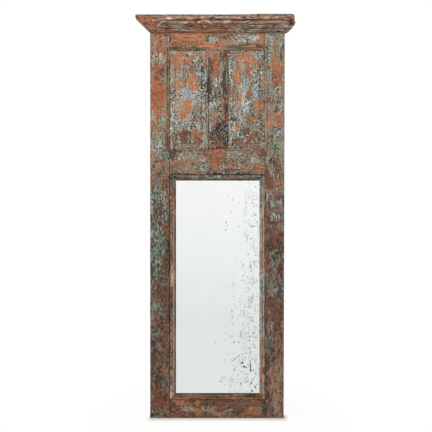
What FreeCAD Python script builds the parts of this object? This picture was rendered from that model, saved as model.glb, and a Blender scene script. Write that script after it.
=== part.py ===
import FreeCAD, Part
import math
import os

Vector = FreeCAD.Vector

# A tall mirror made from an old joined door panel. The face looks along -Y, +X is to the
# viewer's right and +Z is up. The origin is on the floor, halfway along the frame's width
# and halfway through its thickness.

# Frame members, from edge to edge
frame_width = 645.0
frame_thickness = 42.0
right_edge_taper = 6.0         # the right edge leans in by this much at the floor
left_stile_width = 93.0
right_stile_width = 96.0
bottom_rail_height = 87.0
mirror_opening_height = 1076.0
middle_rail_height = 126.0
panel_opening_height = 470.0
top_rail_height = 156.0
muntin_width = 103.0

# Mortise and tenon joints
tenon_thickness = 14.0
tenon_shoulder = 16.0          # from a rail's edge to its tenon
top_tenon_height = 80.0
muntin_tenon_length = 30.0
joint_clearance = 0.1
wedge_length = 45.0
wedge_height = 5.0
peg_radius = 4.5
peg_length = 36.0
peg_proud = 0.6
peg_clearance = 0.05
peg_height_on_rail = 66.0      # above the middle rail's lower edge
left_peg_inset = 58.0          # from the stile's inner edge
right_peg_inset = 41.0

# Moulded inner edge round the panels, with the panel groove behind it
sticking_width = 11.0
sticking_quirk = 2.5
groove_inset = 14.0            # from the face of the frame to the groove
groove_width = 8.0
groove_depth = 10.0

# Raised and fielded panels
panel_bevel_width = 25.0
panel_bevel_rise = 7.0
panel_field_step = 2.5
panel_side_room = 2.0          # room for the wood to swell
panel_top_room = 4.0
panel_clearance = 0.2

# Cornice, listed from its foot to its top
crown_foot_height = 3.0
crown_foot_projection = 8.0
crown_bead_height = 12.5
crown_bead_foot_projection = 11.0
crown_bead_middle_projection = 20.0
crown_bead_top_projection = 25.0
crown_lower_groove_height = 3.0
crown_lower_groove_projection = 21.0
crown_ovolo_height = 13.5
crown_ovolo_foot_projection = 28.5
crown_ovolo_middle_projection = 35.5
crown_ovolo_top_projection = 40.0
crown_quirk_height = 3.0
crown_quirk_projection = 37.5
crown_torus_height = 16.0
crown_torus_root_projection = 42.0
crown_torus_projection = 47.5
crown_upper_groove_height = 4.0
crown_upper_groove_projection = 40.5
crown_fillet_height = 17.0
crown_projection = 44.5
block_width = 49.0             # how far the plain left block reaches along the frame's face
block_overhang = 69.0          # how far it stands out past the left stile
block_toe_projection = 8.0
block_toe_height = 8.0
block_lip_height = 4.0
cap_thickness = 7.0
cap_edge_radius = 2.5
cap_setback = 1.0

# Strips round the mirror glass
left_moulding_width = 31.0
right_moulding_width = 26.0
top_moulding_width = 28.0
bottom_moulding_width = 31.0
moulding_setback = 1.5         # from the face of the frame to the face of the strip
moulding_thickness = 16.5
moulding_bead_rise = 1.2
moulding_cove_drop = 2.6
moulding_lip = 3.0
moulding_bead_start_share = 0.5
moulding_bead_end_share = 0.64

# Glass, its backing and the strips behind it
glass_thickness = 4.0
glass_side_room = 1.5
glass_top_room = 2.0
backing_thickness = 4.0
fillet_width = 12.0
fillet_thickness = 10.0
fillet_chamfer = 3.0

# Brads, nails and screws
brad_width = 1.6
brad_head_width = 2.8
brad_head_height = 1.0
brad_length = 30.0
brad_set = 0.6                 # how far the head is punched below the wood
brad_lean = 40.0               # degrees from square, so that it reaches the frame
brad_inset = 11.0
brad_end_distance = 20.0
long_strip_brad_count = 5
short_strip_brad_count = 3
fillet_brad_length = 22.0
fillet_brad_inset = 5.5
fillet_brad_end_distance = 60.0
long_fillet_brad_count = 4
short_fillet_brad_count = 2
nail_width = 2.8
nail_head_width = 5.2
nail_head_height = 1.2
nail_length = 58.0
nail_set = 1.5
cap_nail_length = 38.0
nail_clearance = 0.05
nail_mouth_reach = 30.0        # how far the clearance for a punched head runs outwards
cornice_nail_count = 5
cornice_nail_end_distance = 55.0
return_nail_end_distance = 12.0
return_nail_length = 85.0
cap_nail_count = 4
screw_radius = 1.75
screw_length = 20.0
screw_point_length = 3.0
screw_head_radius = 3.3
screw_head_height = 2.0
screw_clearance = 0.05
screw_slot_width = 0.9
screw_slot_depth = 1.0

# Strap hangers on the back
hanger_drop = 214.0            # from the top of the panels' opening to the rings' pivots
strap_width = 14.0
strap_thickness = 1.5
strap_length = 52.0
strap_screw_distance = 27.0    # from the pivot to the first screw
strap_screw_spacing = 17.0
strap_hole_clearance = 0.2
ring_wire_radius = 1.75
ring_width = 26.0              # between the middles of its wire
ring_corner_radius = 4.0
ring_clearance = 0.3

cut_overrun = 1.0
nail_tip_share = 0.35
half_share = 0.5
round_middle_share = math.sin(math.radians(45))

# Places of the faces and edges
left = -frame_width / 2
right = frame_width / 2
front = -frame_thickness / 2
back = frame_thickness / 2
inner_left = left + left_stile_width
inner_right = right - right_stile_width
muntin_left = (inner_left + inner_right - muntin_width) / 2
muntin_right = muntin_left + muntin_width
mirror_bottom = bottom_rail_height
mirror_top = mirror_bottom + mirror_opening_height
panel_bottom = mirror_top + middle_rail_height
panel_top = panel_bottom + panel_opening_height
frame_top = panel_top + top_rail_height
groove_front = front + groove_inset
groove_back = groove_front + groove_width
tenon_front = -tenon_thickness / 2
tenon_back = tenon_thickness / 2
crown_height = (crown_foot_height + crown_bead_height + crown_lower_groove_height
                + crown_ovolo_height + crown_quirk_height + crown_torus_height
                + crown_upper_groove_height + crown_fillet_height)
crown_bottom = frame_top - crown_height
moulding_front = front + moulding_setback
moulding_back = moulding_front + moulding_thickness
glass_back = moulding_back + glass_thickness
backing_back = glass_back + backing_thickness
fillet_back = backing_back + fillet_thickness
hanger_height = panel_top - hanger_drop
left_hanger_x = left + left_stile_width / 2
right_hanger_x = right - right_stile_width / 2
eye_bore_radius = ring_wire_radius + ring_clearance
eye_radius = eye_bore_radius + strap_thickness
eye_y = back + eye_radius

# Each rail's tenon, from its lower to its upper edge
tenon_spans = {
    "top": (panel_top + tenon_shoulder, panel_top + tenon_shoulder + top_tenon_height),
    "middle": (mirror_top + tenon_shoulder, panel_bottom - tenon_shoulder),
    "bottom": (tenon_shoulder, mirror_bottom - tenon_shoulder),
}


def box(x0, x1, y0, y1, z0, z1):
    return Part.makeBox(x1 - x0, y1 - y0, z1 - z0, Vector(x0, y0, z0))


def outline_face(steps, place):
    # A step is the end of a line, or a middle and an end for an arc; place puts it in space
    here = place(*steps[0])
    edges = []
    for step in steps[1:] + steps[:1]:
        if isinstance(step[0], tuple):
            middle = place(*step[0])
            end = place(*step[1])
            edges.append(Part.Arc(here, middle, end).toShape())
        else:
            end = place(*step)
            edges.append(Part.LineSegment(here, end).toShape())
        here = end
    return Part.Face(Part.Wire(edges))


def elevation_prism(points, y0, y1):
    # An outline in the plane of the frame's face, given depth
    face = outline_face(points, lambda x, z: Vector(x, y0, z))
    return face.extrude(Vector(0, y1 - y0, 0))


def frame_envelope():
    corners = [(left, 0), (right - right_edge_taper, 0), (right, frame_top), (left, frame_top)]
    return elevation_prism(corners, front - cut_overrun, back + cut_overrun)


def mitred_side(side, outer, widths, section):
    # One side of a border with mitred corners. The section runs inwards from the outer edge
    x0, x1, z0, z1 = outer
    corners = {
        "left_bottom": ((x0, z0), (x0 + widths["left"], z0 + widths["bottom"])),
        "right_bottom": ((x1, z0), (x1 - widths["right"], z0 + widths["bottom"])),
        "right_top": ((x1, z1), (x1 - widths["right"], z1 - widths["top"])),
        "left_top": ((x0, z1), (x0 + widths["left"], z1 - widths["top"])),
    }
    ends = {
        "left": ("left_bottom", "left_top"),
        "right": ("right_bottom", "right_top"),
        "bottom": ("left_bottom", "right_bottom"),
        "top": ("left_top", "right_top"),
    }
    places = {
        "left": lambda u, y: Vector(x0 + u, y, z0),
        "right": lambda u, y: Vector(x1 - u, y, z0),
        "bottom": lambda u, y: Vector(x0, y, z0 + u),
        "top": lambda u, y: Vector(x0, y, z1 - u),
    }
    along = Vector(0, 0, z1 - z0) if side in ("left", "right") else Vector(x1 - x0, 0, 0)
    start, end = ends[side]
    trapezium = [corners[start][0], corners[start][1], corners[end][1], corners[end][0]]
    limits = elevation_prism(trapezium, front - cut_overrun, back + cut_overrun)
    return outline_face(section(widths[side]), places[side]).extrude(along).common(limits)


# Moulded edge of the panel openings

def sticking_section(width):
    depth = groove_inset - sticking_quirk
    middle = (sticking_width * round_middle_share,
              front + groove_inset - depth * round_middle_share)
    return [
        (0, front - cut_overrun),
        (0, front + sticking_quirk),
        (middle, (sticking_width, front + groove_inset)),
        (width, front + groove_inset),
        (width, front - cut_overrun),
    ]


def sticking_cutter(x0, x1):
    outer = (x0 - sticking_width, x1 + sticking_width,
             panel_bottom - sticking_width, panel_top + sticking_width)
    sides = ("left", "right", "bottom", "top")
    widths = {side: sticking_width + cut_overrun for side in sides}
    cutters = [mitred_side(side, outer, widths, sticking_section) for side in sides]
    return cutters[0].fuse(cutters[1:])


def panel_groove(x0, x1):
    return box(x0 - groove_depth, x1 + groove_depth, groove_front, groove_back,
               panel_bottom - groove_depth, panel_top + groove_depth)


def panel_cutters():
    cutters = []
    for x0, x1 in ((inner_left, muntin_left), (muntin_right, inner_right)):
        cutters += [sticking_cutter(x0, x1), panel_groove(x0, x1)]
    return cutters


# Tenons, wedges and pegs

def tenon(rail, side, clearance):
    z0, z1 = tenon_spans[rail]
    x0, x1 = (left, inner_left) if side == "left" else (inner_right, right)
    return box(x0, x1, tenon_front + clearance, tenon_back - clearance, z0, z1)


def wedge_pair(rail, side, clearance):
    z0, z1 = tenon_spans[rail]
    outside = left if side == "left" else right
    inside = left + wedge_length if side == "left" else right - wedge_length
    pair = []
    for edge, rise in ((z0, -wedge_height), (z1, wedge_height)):
        corners = [(outside, edge), (inside, edge), (outside, edge + rise)]
        pair.append(elevation_prism(corners, tenon_front + clearance, tenon_back - clearance))
    return pair


def muntin_tenon(lower_end, clearance):
    z0, z1 = (panel_top, panel_top + muntin_tenon_length)
    if lower_end:
        z0, z1 = (panel_bottom - muntin_tenon_length, panel_bottom)
    return box(muntin_left + tenon_shoulder, muntin_right - tenon_shoulder,
               tenon_front + clearance, tenon_back - clearance, z0, z1)


def pegs(radius, proud):
    made = []
    for x in (inner_left - left_peg_inset, inner_right + right_peg_inset):
        foot = Vector(x, front - proud, mirror_top + peg_height_on_rail)
        made.append(Part.makeCylinder(radius, peg_length + proud, foot, Vector(0, 1, 0)))
    return made


# Cut nails, square in section: the head's outer face is centred on the seat and the shank
# tapers along the way

def square(centre, way, width):
    across = Vector(1, 0, 0) if way.x == 0 else Vector(0, 0, 1)
    up = across.cross(way)
    corners = [centre + (across * u + up * v) * (width / 2)
               for u, v in ((1, 1), (-1, 1), (-1, -1), (1, -1))]
    return Part.makePolygon(corners + corners[:1])


def square_rod(start, way, length, width):
    return Part.Face(square(start, way, width)).extrude(way * length)


def tapered_shank(seat, way, length, width, room):
    butt = square(seat, way, width + 2 * room)
    tip = square(seat + way * (length + room), way, width * nail_tip_share + 2 * room)
    return Part.makeLoft([butt, tip], True, True)


def nail(seat, way, length, width, head_width, head_height):
    head = square_rod(seat, way, head_height, head_width)
    return tapered_shank(seat, way, length, width, 0).fuse(head)


def nail_hole(seat, way, length, width, head_width, head_height):
    mouth = square_rod(seat - way * nail_mouth_reach, way, nail_mouth_reach + head_height,
                       head_width + 2 * nail_clearance)
    return tapered_shank(seat, way, length, width, nail_clearance).fuse(mouth)


def spread(first, last, count):
    return [first + (last - first) * index / (count - 1) for index in range(count)]


def strip_brads(make):
    # Brads lean outwards through the strips round the glass into the frame's inner edges
    lean = math.radians(brad_lean)
    out, deep = math.sin(lean), math.cos(lean)
    y = moulding_front + brad_set
    sizes = (brad_length, brad_width, brad_head_width, brad_head_height)
    made = []
    for z in spread(mirror_bottom + brad_end_distance, mirror_top - brad_end_distance,
                    long_strip_brad_count):
        made.append(make(Vector(inner_left + brad_inset, y, z), Vector(-out, deep, 0), *sizes))
        made.append(make(Vector(inner_right - brad_inset, y, z), Vector(out, deep, 0), *sizes))
    near_corner = brad_end_distance + left_moulding_width
    for x in spread(inner_left + near_corner, inner_right - near_corner, short_strip_brad_count):
        made.append(make(Vector(x, y, mirror_bottom + brad_inset), Vector(0, deep, -out), *sizes))
        made.append(make(Vector(x, y, mirror_top - brad_inset), Vector(0, deep, out), *sizes))
    return made


def back_brads(make):
    # The same through the strips behind the glass, set between the front ones
    lean = math.radians(brad_lean)
    out, deep = math.sin(lean), math.cos(lean)
    y = fillet_back - brad_set
    sizes = (fillet_brad_length, brad_width, brad_head_width, brad_head_height)
    inset = fillet_brad_inset
    end = fillet_brad_end_distance
    made = []
    for z in spread(mirror_bottom + end, mirror_top - end, long_fillet_brad_count):
        made.append(make(Vector(inner_left + inset, y, z), Vector(-out, -deep, 0), *sizes))
        made.append(make(Vector(inner_right - inset, y, z), Vector(out, -deep, 0), *sizes))
    for x in spread(inner_left + end, inner_right - end, short_fillet_brad_count):
        made.append(make(Vector(x, y, mirror_bottom + inset), Vector(0, -deep, -out), *sizes))
        made.append(make(Vector(x, y, mirror_top - inset), Vector(0, -deep, out), *sizes))
    return made


def crown_foot_top():
    # Height of the ovolo's lower edge above the cornice's foot
    return crown_foot_height + crown_bead_height + crown_lower_groove_height


def torus_middle():
    return (crown_height - crown_fillet_height - crown_upper_groove_height
            - crown_torus_height / 2)


def block_front_projection(height):
    rise = crown_height - block_lip_height - crown_foot_top()
    slope = (crown_projection - crown_ovolo_foot_projection) / rise
    return crown_ovolo_foot_projection + slope * (height - crown_foot_top())


def block_side_projection(height):
    rise = crown_height - block_lip_height - block_toe_height
    slope = (block_overhang - block_toe_projection) / rise
    return block_toe_projection + slope * (height - block_toe_height)


def crown_nails(make):
    height = crown_foot_top() + crown_ovolo_height / 2
    head = (nail_width, nail_head_width, nail_head_height)
    first = left + block_width + cornice_nail_end_distance
    places = spread(first, right - cornice_nail_end_distance, cornice_nail_count)
    fronts = [(left + block_width / 2, block_front_projection(height))]
    fronts += [(x, crown_ovolo_middle_projection) for x in places]
    made = []
    for x, projection in fronts:
        seat = Vector(x, front - projection + nail_set, crown_bottom + height)
        made.append(make(seat, Vector(0, 1, 0), nail_length, *head))
    height = torus_middle()
    seats = ((right + crown_torus_projection - nail_set, -1),
             (left - block_side_projection(height) + nail_set, 1))
    for y in (front + return_nail_end_distance, back - return_nail_end_distance):
        for x, way in seats:
            seat = Vector(x, y, crown_bottom + height)
            made.append(make(seat, Vector(way, 0, 0), return_nail_length, *head))
    return made


def cap_nails(make):
    sizes = (cap_nail_length, nail_width, nail_head_width, nail_head_height)
    z = frame_top + cap_thickness - nail_set
    made = []
    middles = (left + left_stile_width / 2, right - right_stile_width / 2)
    for x in spread(middles[0], middles[1], cap_nail_count):
        made.append(make(Vector(x, back - return_nail_end_distance, z), Vector(0, 0, -1), *sizes))
    return made


# Frame members

def cut_all(shape, cutters):
    return shape.cut(cutters).removeSplitter()


def stile(side):
    x0, x1 = (left, inner_left) if side == "left" else (inner_right, right)
    blank = box(x0, x1, front, back, 0, frame_top).common(frame_envelope())
    cutters = panel_cutters() + pegs(peg_radius + peg_clearance, cut_overrun)
    for rail in tenon_spans:
        cutters.append(tenon(rail, side, 0))
        cutters += wedge_pair(rail, side, 0)
    cutters += strip_brads(nail_hole) + back_brads(nail_hole)
    cutters += crown_nails(nail_hole) + cap_nails(nail_hole)
    cutters += hanger_screw_holes()
    return cut_all(blank, cutters)


def rail_with_tenons(rail, z0, z1, cutters):
    blank = box(inner_left, inner_right, front, back, z0, z1)
    tenons = [tenon(rail, side, joint_clearance).common(frame_envelope())
              for side in ("left", "right")]
    return cut_all(blank.fuse(tenons), cutters)


def top_rail():
    cutters = panel_cutters() + [muntin_tenon(False, 0)]
    cutters += crown_nails(nail_hole) + cap_nails(nail_hole)
    return rail_with_tenons("top", panel_top, frame_top, cutters)


def middle_rail():
    cutters = panel_cutters() + [muntin_tenon(True, 0)]
    cutters += pegs(peg_radius + peg_clearance, cut_overrun)
    cutters += strip_brads(nail_hole) + back_brads(nail_hole)
    return rail_with_tenons("middle", mirror_top, panel_bottom, cutters)


def bottom_rail():
    return rail_with_tenons("bottom", 0, mirror_bottom,
                            strip_brads(nail_hole) + back_brads(nail_hole))


def muntin():
    blank = box(muntin_left, muntin_right, front, back, panel_bottom, panel_top)
    tenons = [muntin_tenon(lower_end, joint_clearance) for lower_end in (True, False)]
    return cut_all(blank, panel_cutters()).fuse(tenons).removeSplitter()


def rectangle(x0, x1, y, z0, z1):
    corners = [Vector(x0, y, z0), Vector(x1, y, z0), Vector(x1, y, z1), Vector(x0, y, z1)]
    return Part.makePolygon(corners + corners[:1])


def panel(x0, x1):
    reach = groove_depth - panel_side_room
    tongue_front = groove_front + panel_clearance
    tongue_back = groove_back - panel_clearance
    tongue = box(x0 - reach, x1 + reach, tongue_front, tongue_back,
                 panel_bottom - groove_depth, panel_top + groove_depth - panel_top_room)
    bevel_foot = rectangle(x0 + panel_clearance, x1 - panel_clearance, tongue_front,
                           panel_bottom + panel_clearance, panel_top - panel_clearance)
    bevel_y = tongue_front - panel_bevel_rise
    field_edges = (x0 + panel_bevel_width, x1 - panel_bevel_width)
    field_ends = (panel_bottom + panel_bevel_width, panel_top - panel_bevel_width)
    bevel_head = rectangle(*field_edges, bevel_y, *field_ends)
    bevel = Part.makeLoft([bevel_foot, bevel_head], True, True)
    field = box(*field_edges, bevel_y - panel_field_step, tongue_back, *field_ends)
    return tongue.fuse([bevel, field]).removeSplitter()


# Cornice

def crown_foot_steps():
    # From the frame's face outwards and up to the top of the lower groove
    z0 = crown_foot_height
    z1 = z0 + crown_bead_height
    return [
        (0, 0),
        (crown_foot_projection, 0),
        (crown_bead_foot_projection, z0),
        ((crown_bead_middle_projection, (z0 + z1) / 2), (crown_bead_top_projection, z1)),
        (crown_lower_groove_projection, z1),
        (crown_lower_groove_projection, crown_foot_top()),
    ]


def crown_steps():
    z2 = crown_foot_top()
    z3 = z2 + crown_ovolo_height
    z4 = z3 + crown_quirk_height
    z5 = z4 + crown_torus_height
    z6 = z5 + crown_upper_groove_height
    return crown_foot_steps() + [
        (crown_ovolo_foot_projection, z2),
        ((crown_ovolo_middle_projection, (z2 + z3) / 2), (crown_ovolo_top_projection, z3)),
        (crown_quirk_projection, z3),
        (crown_quirk_projection, z4),
        (crown_torus_root_projection, z4),
        ((crown_torus_projection, (z4 + z5) / 2), (crown_torus_root_projection, z5)),
        (crown_upper_groove_projection, z5),
        (crown_upper_groove_projection, z6),
        (crown_projection, z6),
        (crown_projection, crown_height),
        (0, crown_height),
    ]


def mitre_limit():
    # Ground plan on the front side of the mitre at the right corner
    reach = crown_projection + crown_torus_projection
    corners = [(left, front), (right, front), (right + reach, front - reach), (left, front - reach)]
    face = outline_face(corners, lambda x, y: Vector(x, y, crown_bottom - cut_overrun))
    return face.extrude(Vector(0, 0, crown_height + cut_overrun + cut_overrun))


def cornice_nail_cutters():
    return crown_nails(nail_hole) + cap_nails(nail_hole)


def cornice_front():
    start = left + block_width
    face = outline_face(crown_steps(), lambda p, z: Vector(start, front - p, crown_bottom + z))
    run = face.extrude(Vector(right + crown_torus_projection - start, 0, 0))
    return cut_all(run.common(mitre_limit()), cornice_nail_cutters())


def cornice_right_return():
    y0 = front - crown_torus_projection
    face = outline_face(crown_steps(), lambda p, z: Vector(right + p, y0, crown_bottom + z))
    run = face.extrude(Vector(0, back - y0, 0))
    return cut_all(run.cut(mitre_limit()), cornice_nail_cutters())


def cornice_left_block():
    # A corner piece splayed on two sides: the same foot as the crown, then plain slopes
    front_steps = crown_foot_steps() + [
        (crown_ovolo_foot_projection, crown_foot_top()),
        (crown_projection, crown_height - block_lip_height),
        (crown_projection, crown_height),
        (0, crown_height),
    ]
    side_steps = [
        (-block_width, 0),
        (0, 0),
        (block_toe_projection, block_toe_height),
        (block_overhang, crown_height - block_lip_height),
        (block_overhang, crown_height),
        (-block_width, crown_height),
    ]
    x0 = left - block_overhang
    y0 = front - crown_torus_projection
    front_face = outline_face(
        [(0, 0)] + front_steps[1:], lambda p, z: Vector(x0, front - p, crown_bottom + z))
    front_run = front_face.extrude(Vector(block_overhang + block_width, 0, 0))
    thick_front = front_run.fuse(box(x0, left, front, back, crown_bottom, frame_top))
    side_face = outline_face(side_steps, lambda q, z: Vector(left - q, y0, crown_bottom + z))
    side_run = side_face.extrude(Vector(0, back - y0, 0))
    return cut_all(thick_front.common(side_run), cornice_nail_cutters())


def cornice_cap():
    x0 = left - block_overhang + cap_setback
    x1 = right + crown_projection - cap_setback
    y0 = front - crown_projection + cap_setback
    blank = box(x0, x1, y0, back, frame_top, frame_top + cap_thickness)
    worn = [edge for edge in blank.Edges
            if edge.BoundBox.YMin < back - cut_overrun or edge.BoundBox.ZLength > cut_overrun]
    worn = [edge for edge in worn if edge.BoundBox.ZMax > frame_top + cap_edge_radius]
    return cut_all(blank.makeFillet(cap_edge_radius, worn), cap_nails(nail_hole))


# Strips round the glass

def moulding_section(width):
    bead_start = width * moulding_bead_start_share
    bead_end = width * moulding_bead_end_share
    cove_start = moulding_front + moulding_cove_drop
    lip_front = moulding_back - moulding_lip
    middle = (width - (width - bead_end) * round_middle_share,
              cove_start + (lip_front - cove_start) * round_middle_share)
    return [
        (0, moulding_front),
        (bead_start, moulding_front),
        (((bead_start + bead_end) / 2, moulding_front - moulding_bead_rise),
         (bead_end, moulding_front)),
        (bead_end, cove_start),
        (middle, (width, lip_front)),
        (width, moulding_back),
        (0, moulding_back),
    ]


def mirror_moulding(side):
    outer = (inner_left, inner_right, mirror_bottom, mirror_top)
    widths = {
        "left": left_moulding_width,
        "right": right_moulding_width,
        "top": top_moulding_width,
        "bottom": bottom_moulding_width,
    }
    strip = mitred_side(side, outer, widths, moulding_section)
    return cut_all(strip, strip_brads(nail_hole))


def mirror_glass():
    return box(inner_left + glass_side_room, inner_right - glass_side_room,
               moulding_back, glass_back, mirror_bottom, mirror_top - glass_top_room)


def backing_board():
    return box(inner_left + glass_side_room, inner_right - glass_side_room,
               glass_back, backing_back, mirror_bottom, mirror_top - glass_top_room)


def fillet_section(width):
    return [
        (0, backing_back),
        (width, backing_back),
        (width, fillet_back - fillet_chamfer),
        (width - fillet_chamfer, fillet_back),
        (0, fillet_back),
    ]


def glass_fillet(side):
    outer = (inner_left, inner_right, mirror_bottom, mirror_top)
    widths = {name: fillet_width for name in ("left", "right", "top", "bottom")}
    return cut_all(mitred_side(side, outer, widths, fillet_section), back_brads(nail_hole))


# Strap hangers: the ring turns on its straight bar in the strap's curled eye

def screw_places(x):
    first = hanger_height - strap_screw_distance
    return [(x, first), (x, first - strap_screw_spacing)]


def hanger_screw_holes():
    made = []
    for x, z in screw_places(left_hanger_x) + screw_places(right_hanger_x):
        start = Vector(x, back + cut_overrun, z)
        made.append(Part.makeCylinder(screw_radius + screw_clearance,
                                      screw_length + cut_overrun, start, Vector(0, -1, 0)))
    return made


def hanger_screw(x, z):
    seat = back + strap_thickness
    dome_radius = screw_head_radius * half_share
    steps = [
        (0, seat + screw_head_height),
        (screw_head_radius - dome_radius, seat + screw_head_height),
        ((screw_head_radius - dome_radius + dome_radius * round_middle_share,
          seat + screw_head_height * round_middle_share),
         (screw_head_radius, seat)),
        (screw_radius, seat),
        (screw_radius, back - screw_length + screw_point_length),
        (0, back - screw_length),
    ]
    section = outline_face(steps, lambda r, y: Vector(x + r, y, z))
    turned = section.revolve(Vector(x, 0, z), Vector(0, 1, 0), 360)
    slot = box(x - screw_head_radius, x + screw_head_radius,
               seat + screw_head_height - screw_slot_depth,
               seat + screw_head_height + cut_overrun,
               z - screw_slot_width / 2, z + screw_slot_width / 2)
    return turned.cut(slot)


def hanger_strap(x):
    x0, x1 = x - strap_width / 2, x + strap_width / 2
    end_z = hanger_height - strap_length + strap_width / 2
    plate = box(x0, x1, back, back + strap_thickness, end_z, hanger_height)
    rounded_end = Part.makeCylinder(strap_width / 2, strap_thickness,
                                    Vector(x, back, end_z), Vector(0, 1, 0))
    eye = Part.makeCylinder(eye_radius, strap_width, Vector(x0, eye_y, hanger_height),
                            Vector(1, 0, 0))
    bore = Part.makeCylinder(eye_bore_radius, strap_width, Vector(x0, eye_y, hanger_height),
                             Vector(1, 0, 0))
    holes = [bore]
    for hole_x, z in screw_places(x):
        holes.append(Part.makeCylinder(screw_radius + strap_hole_clearance, strap_thickness,
                                       Vector(hole_x, back, z), Vector(0, 1, 0)))
    return cut_all(plate.fuse([rounded_end, eye]), holes)


def hanger_ring(x):
    z = hanger_height
    bar_half = ring_width / 2 - ring_corner_radius
    side_way = Vector(0, 1, 0)
    bar_start = Vector(x - bar_half, eye_y, z)
    bar = Part.makeCylinder(ring_wire_radius, bar_half + bar_half, bar_start, Vector(1, 0, 0))
    pieces = []
    for way in (-1, 1):
        joint = Vector(x + way * bar_half, eye_y, z)
        disc = Part.Face(Part.Wire(Part.Circle(joint, Vector(1, 0, 0), ring_wire_radius).toShape()))
        centre = joint - Vector(0, 0, ring_corner_radius)
        pieces.append(disc.revolve(centre, side_way, way * 90))
    low = z - ring_corner_radius
    start = Vector(x - ring_width / 2, eye_y, low)
    disc = Part.Face(Part.Wire(Part.Circle(start, Vector(0, 0, 1), ring_wire_radius).toShape()))
    pieces.append(disc.revolve(Vector(x, eye_y, low), side_way, -180))
    return bar.fuse(pieces).removeSplitter()


def hanger_screws():
    places = screw_places(left_hanger_x) + screw_places(right_hanger_x)
    return Part.makeCompound([hanger_screw(x, z) for x, z in places])


def tenon_wedges():
    wedges = []
    for rail in tenon_spans:
        for side in ("left", "right"):
            wedges += [wedge.common(frame_envelope())
                       for wedge in wedge_pair(rail, side, joint_clearance)]
    return Part.makeCompound(wedges)


def parts():
    made = {
        "left_stile": stile("left"),
        "right_stile": stile("right"),
        "top_rail": top_rail(),
        "middle_rail": middle_rail(),
        "bottom_rail": bottom_rail(),
        "muntin": muntin(),
        "left_panel": panel(inner_left, muntin_left),
        "right_panel": panel(muntin_right, inner_right),
        "cornice_front": cornice_front(),
        "cornice_left_block": cornice_left_block(),
        "cornice_right_return": cornice_right_return(),
        "cornice_cap": cornice_cap(),
        "mirror_glass": mirror_glass(),
        "backing_board": backing_board(),
        "tenon_pegs": Part.makeCompound(pegs(peg_radius, peg_proud)),
        "tenon_wedges": tenon_wedges(),
        "moulding_nails": Part.makeCompound(strip_brads(nail)),
        "fillet_nails": Part.makeCompound(back_brads(nail)),
        "cornice_nails": Part.makeCompound(crown_nails(nail) + cap_nails(nail)),
        "left_hanger_strap": hanger_strap(left_hanger_x),
        "right_hanger_strap": hanger_strap(right_hanger_x),
        "left_hanger_ring": hanger_ring(left_hanger_x),
        "right_hanger_ring": hanger_ring(right_hanger_x),
        "hanger_screws": hanger_screws(),
    }
    for side in ("left", "right", "top", "bottom"):
        made["moulding_" + side] = mirror_moulding(side)
        made["fillet_" + side] = glass_fillet(side)
    return made


os.makedirs("parts", exist_ok=True)
for name, shape in parts().items():
    shape.exportStep("parts/" + name + ".step")
    solids = len(shape.Solids)
    print(name, "solids", solids, "valid", shape.isValid(), "volume", round(shape.Volume))
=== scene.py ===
import bmesh
import bpy
import math
import numpy as np
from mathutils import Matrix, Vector


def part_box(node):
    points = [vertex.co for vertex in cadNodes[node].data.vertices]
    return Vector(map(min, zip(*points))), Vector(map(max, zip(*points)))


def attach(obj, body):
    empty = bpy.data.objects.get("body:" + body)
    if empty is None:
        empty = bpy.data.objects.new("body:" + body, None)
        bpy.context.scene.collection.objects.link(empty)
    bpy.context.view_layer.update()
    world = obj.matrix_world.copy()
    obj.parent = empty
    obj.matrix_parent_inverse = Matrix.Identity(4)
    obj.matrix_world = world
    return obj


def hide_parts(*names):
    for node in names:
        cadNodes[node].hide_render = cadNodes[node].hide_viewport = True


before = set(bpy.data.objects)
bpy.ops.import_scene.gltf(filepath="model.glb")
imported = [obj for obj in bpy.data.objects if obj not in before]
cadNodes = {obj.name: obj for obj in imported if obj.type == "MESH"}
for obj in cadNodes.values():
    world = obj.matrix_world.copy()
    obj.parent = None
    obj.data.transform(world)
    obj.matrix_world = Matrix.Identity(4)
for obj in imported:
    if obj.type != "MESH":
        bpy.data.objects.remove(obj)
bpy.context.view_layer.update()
print("packed frame loaded:", len(cadNodes), "nodes")

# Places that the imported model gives, in metres
faceY, backY = [corner.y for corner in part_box("left_stile")]
frameLeft, innerLeft = [corner.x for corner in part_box("left_stile")]
innerRight, frameRight = [corner.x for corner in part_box("right_stile")]
muntinLeft, muntinRight = [corner.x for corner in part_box("muntin")]
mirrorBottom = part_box("moulding_bottom")[0].z
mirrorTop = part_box("moulding_top")[1].z
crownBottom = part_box("cornice_front")[0].z
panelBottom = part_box("middle_rail")[1].z
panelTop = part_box("top_rail")[0].z
patchStart = (innerLeft + innerRight) / 2 - 0.001   # patches give their x from here

cameraSettings = {
    "imageWidth": 432,              # pixels of the photograph
    "mmPerPixel": 4.78,             # on the frame's face
    "middle": (-0.0073, 0.9661),    # x and z that the picture is centred on
    "distance": 6.0,                # the cornice's returns show their undersides by this much
    "sensor": 36.0,
}


def makeCamera(settings):
    data = bpy.data.cameras.new("photoCamera")
    data.sensor_width = settings["sensor"]
    seen = settings["imageWidth"] * settings["mmPerPixel"] / 1000
    data.lens = settings["sensor"] * settings["distance"] / seen
    data.clip_end = 100
    camera = bpy.data.objects.new("photoCamera", data)
    camera.location = (settings["middle"][0], faceY - settings["distance"], settings["middle"][1])
    camera.rotation_euler = (math.radians(90), 0, 0)
    bpy.context.scene.collection.objects.link(camera)
    bpy.context.scene.camera = camera


makeCamera(cameraSettings)


def linear(hexCode):
    # sRGB hex to the linear colour that the shaders work in
    levels = [int(hexCode[i:i + 2], 16) / 255 for i in (0, 2, 4)]
    flat = [v / 12.92 if v <= 0.04045 else ((v + 0.055) / 1.055) ** 2.4 for v in levels]
    return (*flat, 1)


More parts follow.
